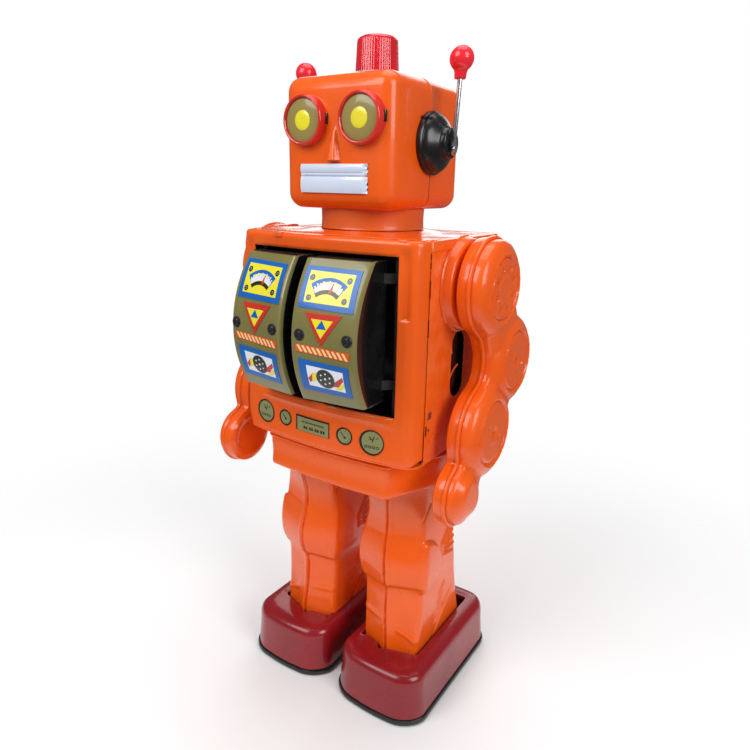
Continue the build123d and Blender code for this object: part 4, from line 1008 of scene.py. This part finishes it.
make_pair("{}_door_pressing", door_sheet(), [OLIVE, OLIVE_EDGE, BLACK_TIN], "{}_door", "door_print", "{}_door",
          thickness=0.5, outward=(0, -1, 0))
make_pair("{}_door_knuckles", door_knuckles(), [RUBBER], "{}_door", "door_print")
DOOR_INKS = [BLUE, YELLOW, WHITE_PRINT, RED_PRINT, ORANGE_PRINT, PALE_STRIPE, INK, LILAC_PRINT]
for side, offset in (("left", 0.0), ("right", -PRINT_SPACING)):
    make_piece(f"{side}_door_artwork", door_print(offset), DOOR_INKS, f"{side}_door", "door_print")
bolts = Sheet()
BOLT_HEAD = [(-0.5, 2.4), (0.2, 2.4), (0.45, 2.2), (0.45, 1.75), (0.25, 1.65), (0.3, 1.55), (0.85, 1.5), (1.0, 1.3),
             (1.0, 0.75), (0.8, 0.7), (0.8, 0.05)]
for x in (7.1, 28.9):
    z = 189.2
    y = float(door_front(x, z))
    at_bolt = lambda along, across, up: (x + across, y - along, z + up)
    bolts.cap_ends(lathe(bolts, BOLT_HEAD, at_bolt, 32))
    small_box(bolts, (x - 1.2, y - 1.12, z - 0.16), (x + 1.2, y - 0.7, z + 0.16), 0.06)
make_pair("{}_door_screw_heads", bolts, [DARK_STEEL], "{}_door", "dark_steel", "{}_door_bolts")

# ---------------------------------------------------------------- pelvis
PELVIS_BOTTOM, PELVIS_TOP = box("pelvis_shell")[0][2], box("pelvis_top_plate")[1][2]
plan = np.array([(33.0, -35.3), (45.6, -8.5), (46.0, 8.0), (36.0, 28.0), (-36.0, 28.0), (-46.0, 8.0), (-45.6, -8.5),
                 (-33.0, -35.3)])


def round_corners(loop, radius, steps=5):
    """Replaces every corner of a closed loop by a short arc."""
    out = []
    for k in range(len(loop)):
        before, here, after = loop[k - 1], loop[k], loop[(k + 1) % len(loop)]
        a = (before - here) / np.linalg.norm(before - here)
        b = (after - here) / np.linalg.norm(after - here)
        for t in np.linspace(0, 1, steps):
            out.append(here + a * radius * (1 - t) ** 2 + b * radius * t ** 2)
    return np.array(out)


pelvis_loop = resample(round_corners(plan, 1.5), 0.8)
pelvis_loop[:, 1] -= 1.6 * np.clip(1 - (pelvis_loop[:, 0] / 33) ** 2, 0, 1) * (pelvis_loop[:, 1] < -30)


def shrunk(loop, inset):
    """Loop moved inward by inset along its normals."""
    ahead, behind = np.roll(loop, -1, axis=0), np.roll(loop, 1, axis=0)
    tangent = ahead - behind
    tangent /= np.linalg.norm(tangent, axis=1)[:, None]
    return loop + inset * np.column_stack([-tangent[:, 1], tangent[:, 0]])


hip = Sheet()
profile = around(0, PELVIS_BOTTOM, [(1.6, 0.4), (0.7, 0), (0.15, 0.5), (0, 1.4)])
profile += [(0.35 * float(bump(121, 6, z)), z) for z in np.linspace(PELVIS_BOTTOM + 3, PELVIS_TOP - 2.6, 7)]
profile += around(0, PELVIS_TOP, [(0, -1.9), (0.35, -1.5), (0.4, -1.15)])
hip.rows([[(x, y, z) for x, y in shrunk(pelvis_loop, inset)] for inset, z in profile])
make_piece("pelvis_pressing", hip, [ORANGE], "pelvis", "orange_tin", ("pelvis_shell",), thickness=0.5)
lip = Sheet()
profile = around(0, PELVIS_TOP, [(0.6, -1.3), (-0.7, -1.2), (-1.0, -0.8), (-0.9, -0.35), (-0.4, -0.05), (0.8, 0)])
lip.cap_ends(lip.rows([[(x, y, z) for x, y in shrunk(pelvis_loop, inset)] for inset, z in profile]))
make_piece("pelvis_lip_plate", lip, [ORANGE], "pelvis", "orange_tin", ("pelvis_top_plate",))

# ---------------------------------------------------------------- CAD pieces that keep their own shape
NODE_MATERIALS = {
    "orange_tin": ORANGE, "maroon_tin": MAROON, "red_plastic": RED_PLASTIC, "olive_print": OLIVE, "pale_print": MOUTH,
    "black_plastic": BLACK_PLASTIC, "black_tin": BLACK_TIN, "door_print": BLACK_TIN, "bright_steel": CHROME,
    "dark_steel": DARK_STEEL, "red_lens": DOME_RED, "clear_trim": CLEAR, "lamp_glass": LAMP, "cell_jacket": JACKET,
    "brass": BRASS, "white_nylon": NYLON, "rubber": RUBBER}
for subpart in frame["record"]["subparts"]:
    node = frame["nodes"].get(subpart["node"])
    if node is not None:
        node.data.materials.clear()
        node.data.materials.append(NODE_MATERIALS[subpart["material_slot"]])
frame["nodes"]["door_pins"].data.materials[0] = DARK_STEEL


# ---------------------------------------------------------------- arms
arm_outer_low, arm_outer_high = box("left_arm_outer_shell")
ARM_SEAM = arm_outer_low[0]
ARM_FACE = arm_outer_high[0]
ARM_BACK = box("left_arm_inner_shell")[0][0]
SHOULDER = (Vector(joints["left_arm_swing"]["pos_m"]) - WAIST) / MM
SHOULDER_Y, SHOULDER_Z = SHOULDER[1], SHOULDER[2]
RIGHT_ARM_FORWARD = math.radians(6.0)
# centre y, centre z and radius of the four lobes of the left arm, from the shoulder down
LOBES = [(0.0, 206.0, 20.9), (19.0, 171.2, 20.8), (-1.4, 142.8, 21.4), (-19.2, 119.0, 13.8)]
NECK_RATIO = 0.75


def lobe_depth(points):
    """How far inside the arm's outline each point lies; lobes and necks blend softly."""
    blend = 1.1
    terms = []
    for y, z, radius in LOBES:
        terms.append(radius - np.hypot(points[:, 0] - y, points[:, 1] - z))
    for (ya, za, ra), (yb, zb, rb) in zip(LOBES, LOBES[1:]):
        a, b = np.array([ya, za]), np.array([yb, zb])
        along = np.clip(((points - a) @ (b - a)) / ((b - a) @ (b - a)), 0, 1)
        nearest = a + along[:, None] * (b - a)
        terms.append(NECK_RATIO * min(ra, rb) - np.linalg.norm(points - nearest, axis=1))
    terms = np.array(terms)
    top = terms.max(axis=0)
    return top + blend * np.log(np.exp((terms - top) / blend).sum(axis=0))


def slope_of(field, points):
    e = 0.02
    dx = (field(points + [e, 0]) - field(points - [e, 0])) / (2 * e)
    dy = (field(points + [0, e]) - field(points - [0, e])) / (2 * e)
    return np.stack([dx, dy], axis=1)


def to_level(field, points, level):
    """Moves points along the slope until the field has the wanted value."""
    points = np.array(points, float)
    for _ in range(12):
        slope = slope_of(field, points)
        size = np.maximum((slope ** 2).sum(axis=1), 0.05)
        step = (level - field(points)) / size
        points = points + slope * np.clip(step, -1.5, 1.5)[:, None]
    return points


def trace_outline(field, start, step):
    """Walks once round the line where the field is zero."""
    here = to_level(field, np.array([start]), 0.0)[0]
    path = [here]
    for _ in range(3000):
        slope = slope_of(field, here[None])[0]
        tangent = np.array([-slope[1], slope[0]]) / np.linalg.norm(slope)
        here = to_level(field, (here + tangent * step)[None], 0.0)[0]
        if len(path) > 20 and np.linalg.norm(here - path[0]) < step * 0.8:
            break
        path.append(here)
    return np.array(path)


ARM_OUTLINE = trace_outline(lobe_depth, (LOBES[0][0], LOBES[0][1] + LOBES[0][2]), 0.9)
DISC_RADII = [13.0, 13.4, 14.0]


def outer_arm_height(points):
    """Height of the outer half above the seam plane."""
    depth = lobe_depth(points)
    full = ARM_FACE - ARM_SEAM
    height = 3.4 + 2.7 * ramp(0, 6.5, depth)
    for (y, z, radius), disc in zip(LOBES, DISC_RADII):
        rho = np.hypot(points[:, 0] - y, points[:, 1] - z)
        dome = full - 0.3 - 4.2 * np.clip((rho - disc) / (radius - disc), 0, 1.4) ** 2.2
        height = np.maximum(height, dome)
        height = height - 1.0 * bump(disc, 0.9, rho) + 0.4 * bump(disc + 1.6, 1.0, rho)
    for dimple in range(8):
        a = math.radians(22.5 + 45 * dimple)
        y, z, _ = LOBES[0]
        near = np.hypot(points[:, 0] - y - 9.0 * math.cos(a), points[:, 1] - z - 9.0 * math.sin(a))
        height = height - 1.6 * bump(0, 1.9, near)
    y, z, _ = LOBES[0]
    rho = np.hypot(points[:, 0] - y, points[:, 1] - z)
    height = height + 1.3 * bump(5.2, 1.2, rho) - 0.7 * bump(7.0, 0.8, rho)
    for (y, z, _), tilt in zip(LOBES[1:3], (20, 35)):
        rho = np.hypot(points[:, 0] - y, points[:, 1] - z)
        height = height + 1.2 * bump(4.0, 1.1, rho) - 0.9 * bump(0, 2.9, rho)
        for side in (-1, 1):
            a = math.radians(tilt)
            near = np.hypot(points[:, 0] - y - side * 6.6 * math.cos(a), points[:, 1] - z + side * 6.6 * math.sin(a))
            height = height - 1.1 * bump(0, 1.1, near)
    y, z, radius = LOBES[3]
    across = (points[:, 0] - y) * 0.8 + (points[:, 1] - z) * 0.6
    along = -(points[:, 0] - y) * 0.6 + (points[:, 1] - z) * 0.8
    pad = 1 - np.hypot(across / 6.8, (along - 1.0) / 9.5)
    height = height + 1.3 * ramp(-0.25, 0.25, pad)
    return np.minimum(height, full)


def inner_arm_height(points):
    """Depth of the inner half below the seam plane."""
    depth = lobe_depth(points)
    full = ARM_SEAM - ARM_BACK
    height = full - 1.6 * (1 - ramp(0, 3.0, depth)) - 0.1
    y, z, radius = LOBES[3]
    rho = np.hypot(points[:, 0] - y, points[:, 1] - z)
    return height - 1.2 * (1 - ramp(radius - 6, radius - 3, rho))


def arm_sheets():
    """Outer and inner half of the left arm."""
    outer, inner = Sheet(), Sheet()
    marks = [circle(lobe[:2], r, 64) for lobe, d in zip(LOBES, DISC_RADII) for r in (d - 0.6, d, d + 0.6)]
    marks += [circle(lobe[:2], r, 40) for lobe, r in zip(LOBES, (5.2, 4.0, 4.0))]
    wall = []
    for inset, rise in ((0.75, -0.2), (0.75, 0.2), (0.78, 1.2), (0.85, 2.2)):
        loop = to_level(lobe_depth, ARM_OUTLINE, inset)
        wall.append([(ARM_SEAM + rise, y, z) for y, z in loop])
    loop = to_level(lobe_depth, ARM_OUTLINE, 1.05)
    top = outer_arm_height(loop)
    wall.append([(ARM_SEAM + h - 0.35, y, z) for h, (y, z) in zip(top, loop)])
    rings = outer.rows(wall)
    rim = to_level(lobe_depth, ARM_OUTLINE, 1.5)
    rim_ids = outer.add([(ARM_SEAM + h, y, z) for h, (y, z) in zip(outer_arm_height(rim), rim)])
    outer.bridge(rings[-1], rim_ids)
    outer.fill(rim_ids, rim, lambda p: [(ARM_SEAM + h, y, z) for h, (y, z) in zip(outer_arm_height(p), p)],
               rings=marks, step=1.0)
    lip = [(0.9, 0.9), (0.55, 1.1), (-0.05, 1.15), (-0.45, 0.95), (-0.6, 0.55), (-0.6, 0.1), (-0.45, -0.3),
           (-0.1, -0.5), (0.15, -0.8), (0.2, -2.0), (0.3, -3.4)]
    rows = []
    for inset, rise in lip:
        loop = to_level(lobe_depth, ARM_OUTLINE, inset)
        rows.append([(ARM_SEAM + rise, y, z) for y, z in loop])
    for inset in (0.6, 1.1, 1.8):
        loop = to_level(lobe_depth, ARM_OUTLINE, inset)
        rows.append([(ARM_SEAM - h, y, z) for h, (y, z) in zip(inner_arm_height(loop), loop)])
    rings = inner.rows(rows)
    rim = to_level(lobe_depth, ARM_OUTLINE, 1.8)
    inner.fill(rings[-1], rim, lambda p: [(ARM_SEAM - h, y, z) for h, (y, z) in zip(inner_arm_height(p), p)],
               step=1.6)
    return outer, inner


for part, sheet, facing in zip(("outer", "inner"), arm_sheets(), (1, -1)):
    forward = turn_sheet(mirror_sheet(sheet), SHOULDER_Y, SHOULDER_Z, -RIGHT_ARM_FORWARD)
    for side, one, outward in (("left", sheet, facing), ("right", forward, -facing)):
        make_piece(f"{side}_arm_{part}_shell_pressing", one, [ORANGE], f"{side}_arm", "orange_tin",
                   (f"{side}_arm_{part}_shell",), thickness=0.4, outward=(outward, 0, 0))

# ---------------------------------------------------------------- legs
leg_outer_low, leg_outer_high = box("left_leg_outer_shell")
LEG_BOTTOM = leg_outer_low[2]
LEG_TOP = leg_outer_high[2]
LEG_INNER_X, LEG_OUTER_X = 11.4, 41.0
RIDGE = 4.6
LEG_SEAM_X = leg_outer_low[0]


def soft(z, heights, values):
    """Straight runs between given heights, with their corners eased."""
    return float(np.mean([np.interp(z + d, heights, values) for d in (-3, -1.5, 0, 1.5, 3)]))


def leg_section(z):
    """Sides of the leg at height z: inner x, outer x, front y, rear y and corner radius."""
    inner = soft(z, (13, 45, 56, 64, 78, 87, 96, 117), (9.9, 9.4, 8.9, 6.9, 6.9, 8.6, 10.2, 10.4))
    outer = soft(z, (13, 26, 56, 66, 80, 90, 103, 117), (40.8, 41.0, 41.8, 42.6, 42.6, 41.9, 40.4, 40.0))
    front = soft(z, (13, 26, 43, 56, 64, 70, 80, 88, 95, 105, 117),
                 (-20.8, -20.6, -19.2, -18.8, -20.8, -21.7, -21.2, -19.8, -19.3, -21.6, -22.2))
    rear = soft(z, (13, 26, 40, 55, 80, 98, 117), (32.0, 30.5, 25.8, 21.8, 15.6, 12.6, 12.6))
    return inner, outer, front, rear


def leg_seam(z):
    """Line where the two pressed halves of the leg meet in front."""
    z = np.asarray(z, float)
    return LEG_SEAM_X - 3.0 + 1.4 * ramp(45, 24, z) + 0.9 * bump(70, 16, z) + 0.9 * ramp(94, 108, z)


def leg_relief(x, y, z, nx, ny):
    """How far the pressed pattern stands out from the plain leg, for points with side normal (nx, ny)."""
    out = np.zeros_like(x)
    front = np.clip(-ny, 0, 1) ** 2
    side = np.clip(np.abs(nx), 0, 1) ** 2
    seam = leg_seam(z)
    out = out + front * RIDGE * np.clip(1 - np.abs(x - seam) / 15.5, 0, 1)
    out = out - front * 1.5 * bump(0, 1.1, x - seam)
    out = out + front * 0.6 * bump(1.7, 1.4, x - seam)
    panel = plateau(60.0, 86, 2.2, z - 0.10 * (x - seam)) * plateau(LEG_INNER_X - 9, LEG_OUTER_X + 3, 3, x)
    out = out + front * 1.5 * panel * (1 - 0.75 * ramp(72, 86, z))
    shin = plateau(14, 50, 4, z)
    out = out - front * 0.8 * shin * plateau(LEG_SEAM_X + 4, LEG_OUTER_X - 3, 5, x) * ramp(47, 33, z)
    kink = np.abs((z - 34) + 0.5 * (x - LEG_SEAM_X - 7))
    out = out + front * 0.7 * bump(0, 2.6, kink) * plateau(LEG_SEAM_X + 3, LEG_OUTER_X, 2, x)
    out = out + front * 0.5 * bump(40, 2.4, z) * ramp(LEG_SEAM_X, LEG_INNER_X + 2, x)
    boss = 1 - np.hypot(y + 14.0 + 0.10 * (z - 71), z - 72.0) / 14.5
    out = out + side * (nx > 0) * (1.8 * ramp(0.0, 0.10, boss) + 0.9 * np.sqrt(np.clip(boss, 0, 1)))
    for k in range(5):
        angle = math.radians(38 - 13 * k)
        cy, cz = 1.6, 76.5 - 1.3 * k
        along = (y - cy) * math.cos(angle) + (z - cz) * math.sin(angle)
        across = -(y - cy) * math.sin(angle) + (z - cz) * math.cos(angle)
        out = out + side * 1.0 * bump(0, 1.2, across) * plateau(0.5, 14.0, 2.5, along)
    for k in range(4):
        y0, z0 = 6.6 - 0.6 * k, 50 - 5.2 * k
        across = (z - z0) - 0.85 * (y - y0)
        out = out + side * 0.6 * bump(0, 1.2, across) * plateau(y0 - 3.2, y0 + 3.2, 1.8, y)
    crease = (z - 103) + 0.9 * np.abs(y + 6.5)
    out = out - side * 0.5 * bump(0, 1.3, crease) * plateau(-17, 4, 3, y)
    hem = np.abs((z - 30) - 1.1 * (y - 5))
    out = out - side * 0.7 * bump(0, 2.2, hem) * plateau(-8, 18, 4, y)
    return out


def leg_sheets():
    """Inner and outer pressed halves of the left leg with their relief."""
    sheet = Sheet()
    rows = []
    side_points, corner_points = 64, 8
    for z in np.arange(LEG_BOTTOM, LEG_TOP + 0.01, 0.7):
        inner, outer, front, rear = leg_section(z)
        radius = 2.6
        chamfer = 2.6 + 5.5 * float(ramp(95, 110, z))
        hang = front + RIDGE
        corners = [(outer - radius, rear - radius, 0, radius), (inner + radius, rear - radius, 90, radius),
                   (inner + radius, hang + radius, 180, radius), (outer - chamfer, hang + chamfer, 270, chamfer)]
        points, normals = [], []
        for k, (cx, cy, start, r) in enumerate(corners):
            for j in range(corner_points):
                a = math.radians(start + 90 * j / (corner_points - 1))
                points.append((cx + r * math.cos(a), cy + r * math.sin(a)))
                normals.append((math.cos(a), math.sin(a)))
            nx, ny, nstart, nr = corners[(k + 1) % 4]
            a = math.radians(nstart)
            end = (nx + nr * math.cos(a), ny + nr * math.sin(a))
            begin = points[-1]
            for j in range(1, side_points):
                t = j / side_points
                points.append((begin[0] + (end[0] - begin[0]) * t, begin[1] + (end[1] - begin[1]) * t))
                normals.append((math.cos(a), math.sin(a)))
        points, normals = np.array(points), np.array(normals)
        push = leg_relief(points[:, 0], points[:, 1], np.full(len(points), z), normals[:, 0], normals[:, 1])
        moved = points + normals * push[:, None]
        rows.append([(x, y, z) for x, y in moved])
    rings = sheet.rows(rows)
    for ring in (rings[0], rings[-1]):
        for on_inner in (True, False):
            sheet.cap([i for i in ring if (sheet.points[i][0] < leg_seam(sheet.points[i][2])) == on_inner])
    return split(sheet, lambda p: p[0] < leg_seam(p[2]))


for half, sheet, facing in zip(("inner", "outer"), leg_sheets(), (-1, 1)):
    make_pair("{}_leg_" + half + "_pressing", sheet, [ORANGE], "{}_leg", "orange_tin", "{}_leg_" + half + "_shell",
              flat_angle=40, outward=(facing, 0, 0))

# ---------------------------------------------------------------- feet
foot_low, foot_high = box("left_foot_shell")
FOOT_TOP = foot_high[2]
SOLE_TOP = foot_low[2]


def foot_outline(inset, count=40):
    """Plan of the foot: long oval-cornered box whose front bows out a little."""
    low = foot_low[:2] + inset
    high = foot_high[:2] - inset
    loop = rounded_rectangle(low, high, max(12.0 - inset, 4.0), corner_steps=14, side_step=2.2)
    middle = (low[0] + high[0]) / 2
    half = (high[0] - low[0]) / 2
    front = np.clip((low[1] + 14 - loop[:, 1]) / 14, 0, 1)
    loop[:, 1] += 3.0 * front * np.clip(np.abs(loop[:, 0] - middle) / half, 0, 1) ** 2
    return loop


def foot_sheet():
    sheet = Sheet()
    height = FOOT_TOP - SOLE_TOP
    profile = [(0.5, 0.0), (0.15, 0.5), (0.2, 2.0), (0.5, 6.0), (0.9, 10.5), (1.3, height - 5.6)]
    for k in range(1, 8):
        a = math.radians(90 * k / 8)
        profile.append((1.3 + 3.8 * (1 - math.cos(a)), height - 5.6 + 4.9 * math.sin(a)))
    profile += [(6.2, height - 0.45), (7.2, height - 0.25)]
    rows = [[(x, y, SOLE_TOP + rise) for x, y in foot_outline(inset)] for inset, rise in profile]
    rings = sheet.rows(rows)
    hole = rounded_rectangle((LEG_INNER_X - 0.9, -17.4), (LEG_OUTER_X + 1.0, 38.0), 1.6, 4, 1.2)
    dip = []
    seam = float(leg_seam(FOOT_TOP))
    for x, y in hole:
        reach = RIDGE * float(np.clip(1 - abs(x - seam) / 15.5, 0, 1)) - 0.3
        notch = 2.2 * float(bump(seam - 2.0, 2.4, x)) + 2.4 * float(bump(LEG_INNER_X - 0.2, 2.6, x))
        dip.append((x, y - reach - notch if y < -16 else y))
    hole = np.array(dip)
    place = lambda p: [(x, y, FOOT_TOP - 0.25 - 0.35 * ramp(10, 0, d)) for (x, y), d in zip(p, distance_to([hole], p))]
    rim = foot_outline(7.2)
    lip = sheet.fill(rings[-1], rim, place, [hole], step=2.2)[0]
    down = sheet.add([(x, y, FOOT_TOP - 3.2) for x, y in hole])
    sheet.bridge(lip, down)
    return sheet


def sole_sheet():
    """Black sole plate with a rolled edge that shows as a thin lip."""
    sheet = Sheet()
    profile = [(3.0, 0.0), (0.4, 0.0), (-0.3, 0.35), (-0.75, 1.0), (-0.8, 2.0), (-0.5, 2.7), (0.1, SOLE_TOP),
               (3.0, SOLE_TOP)]
    sheet.cap_ends(sheet.rows([[(x, y, z) for x, y in foot_outline(inset)] for inset, z in profile]))
    return sheet


make_pair("{}_foot_pressing", foot_sheet(), [MAROON], "{}_leg", "maroon_tin", "{}_foot_shell", thickness=0.5,
          outward=(0, 0, 1))
make_pair("{}_sole_rim", sole_sheet(), [BLACK_TIN], "{}_leg", "black_tin", "{}_foot_sole")

# ---------------------------------------------------------------- stage, light and camera
floor_mesh = bpy.data.meshes.new("floor")
floor_mesh.from_pydata([(-6, -6, 0), (6, -6, 0), (6, 6, 0), (-6, 6, 0)], [], [(0, 1, 2, 3)])
floor = bpy.data.objects.new("floor", floor_mesh)
bpy.context.collection.objects.link(floor)
pale = Graph(bpy.data.materials.new("pale_floor"))
reach = pale.node("VectorMath", {0: pale.node("TexCoord", {}, "Object")}, "Value", operation="LENGTH")
pale.fill(pale.shader, {"Base Color": pale.blend(pale.noise(8, 2.0), (0.90, 0.90, 0.90), (0.86, 0.86, 0.87)),
                        "Roughness": 0.6, "Specular IOR Level": 0.1,
                        "Alpha": pale.map_range(reach, 0.10, 0.42, 1.0, 0.0, "SMOOTHERSTEP")})
floor_mesh.materials.append(pale.owner)


def area_light(name, place, aim, size, power, color=(1, 1, 1)):
    light = bpy.data.lights.new(name, "AREA")
    light.shape = "RECTANGLE"
    light.size, light.size_y = size
    light.energy = power
    light.color = color
    lamp = bpy.data.objects.new(name, light)
    bpy.context.collection.objects.link(lamp)
    lamp.location = Vector(place) + WAIST
    lamp.rotation_euler = (Vector(aim) - Vector(place)).to_track_quat("-Z", "Y").to_euler()
    return lamp


area_light("key_softbox", (-0.20, -0.57, 0.64), (0, 0, 0.26), (0.45, 0.45), 3.3)
area_light("side_softbox", (0.92, -0.28, 0.62), (0, 0, 0.26), (0.5, 0.6), 5.4)
area_light("top_softbox", (0.0, 0.1, 1.1), (0, 0, 0.2), (0.8, 0.8), 4.2)
area_light("rear_softbox", (-0.4, 0.9, 0.6), (0, 0, 0.2), (0.8, 0.6), 3.0)

world = bpy.data.worlds.new("studio")
bpy.context.scene.world = world
sky = Graph(world)
ray = sky.tree.nodes.new("ShaderNodeLightPath").outputs
dimmed = sky.map_range(ray["Is Glossy Ray"], 0.0, 1.0, 0.34, 0.14)
sky.fill(sky.tree.nodes["Background"], {"Color": (1.0, 1.0, 1.0, 1),
                                        "Strength": sky.math("MAXIMUM", dimmed, ray["Is Camera Ray"])})

# camera: view direction, roll, lens and lens shift that show the robot from its left front, from a little above
VIEW_AZIMUTH = math.radians(33.47)
VIEW_ELEVATION = math.radians(15.03)
VIEW_ROLL = math.radians(1.19)
CAMERA_PLACE = Vector((164.13, -244.01, 245.99)) * MM
back = Vector((math.sin(VIEW_AZIMUTH) * math.cos(VIEW_ELEVATION),
               -math.cos(VIEW_AZIMUTH) * math.cos(VIEW_ELEVATION), math.sin(VIEW_ELEVATION)))
right = Vector((math.cos(VIEW_AZIMUTH), math.sin(VIEW_AZIMUTH), 0))
up = back.cross(right)
camera_x = right * math.cos(VIEW_ROLL) + up * math.sin(VIEW_ROLL)
camera_y = up * math.cos(VIEW_ROLL) - right * math.sin(VIEW_ROLL)
camera_data = bpy.data.cameras.new("camera")
camera_data.lens = 30.07
camera_data.sensor_width = 36
camera_data.shift_y = -0.0272
camera_data.clip_start = 0.01
camera = bpy.data.objects.new("camera", camera_data)
bpy.context.collection.objects.link(camera)
turned = Matrix((camera_x, camera_y, back)).transposed().to_4x4()
camera.matrix_world = Matrix.Translation(CAMERA_PLACE + WAIST) @ turned
bpy.context.scene.camera = camera
bpy.context.scene.view_settings.view_transform = "Standard"
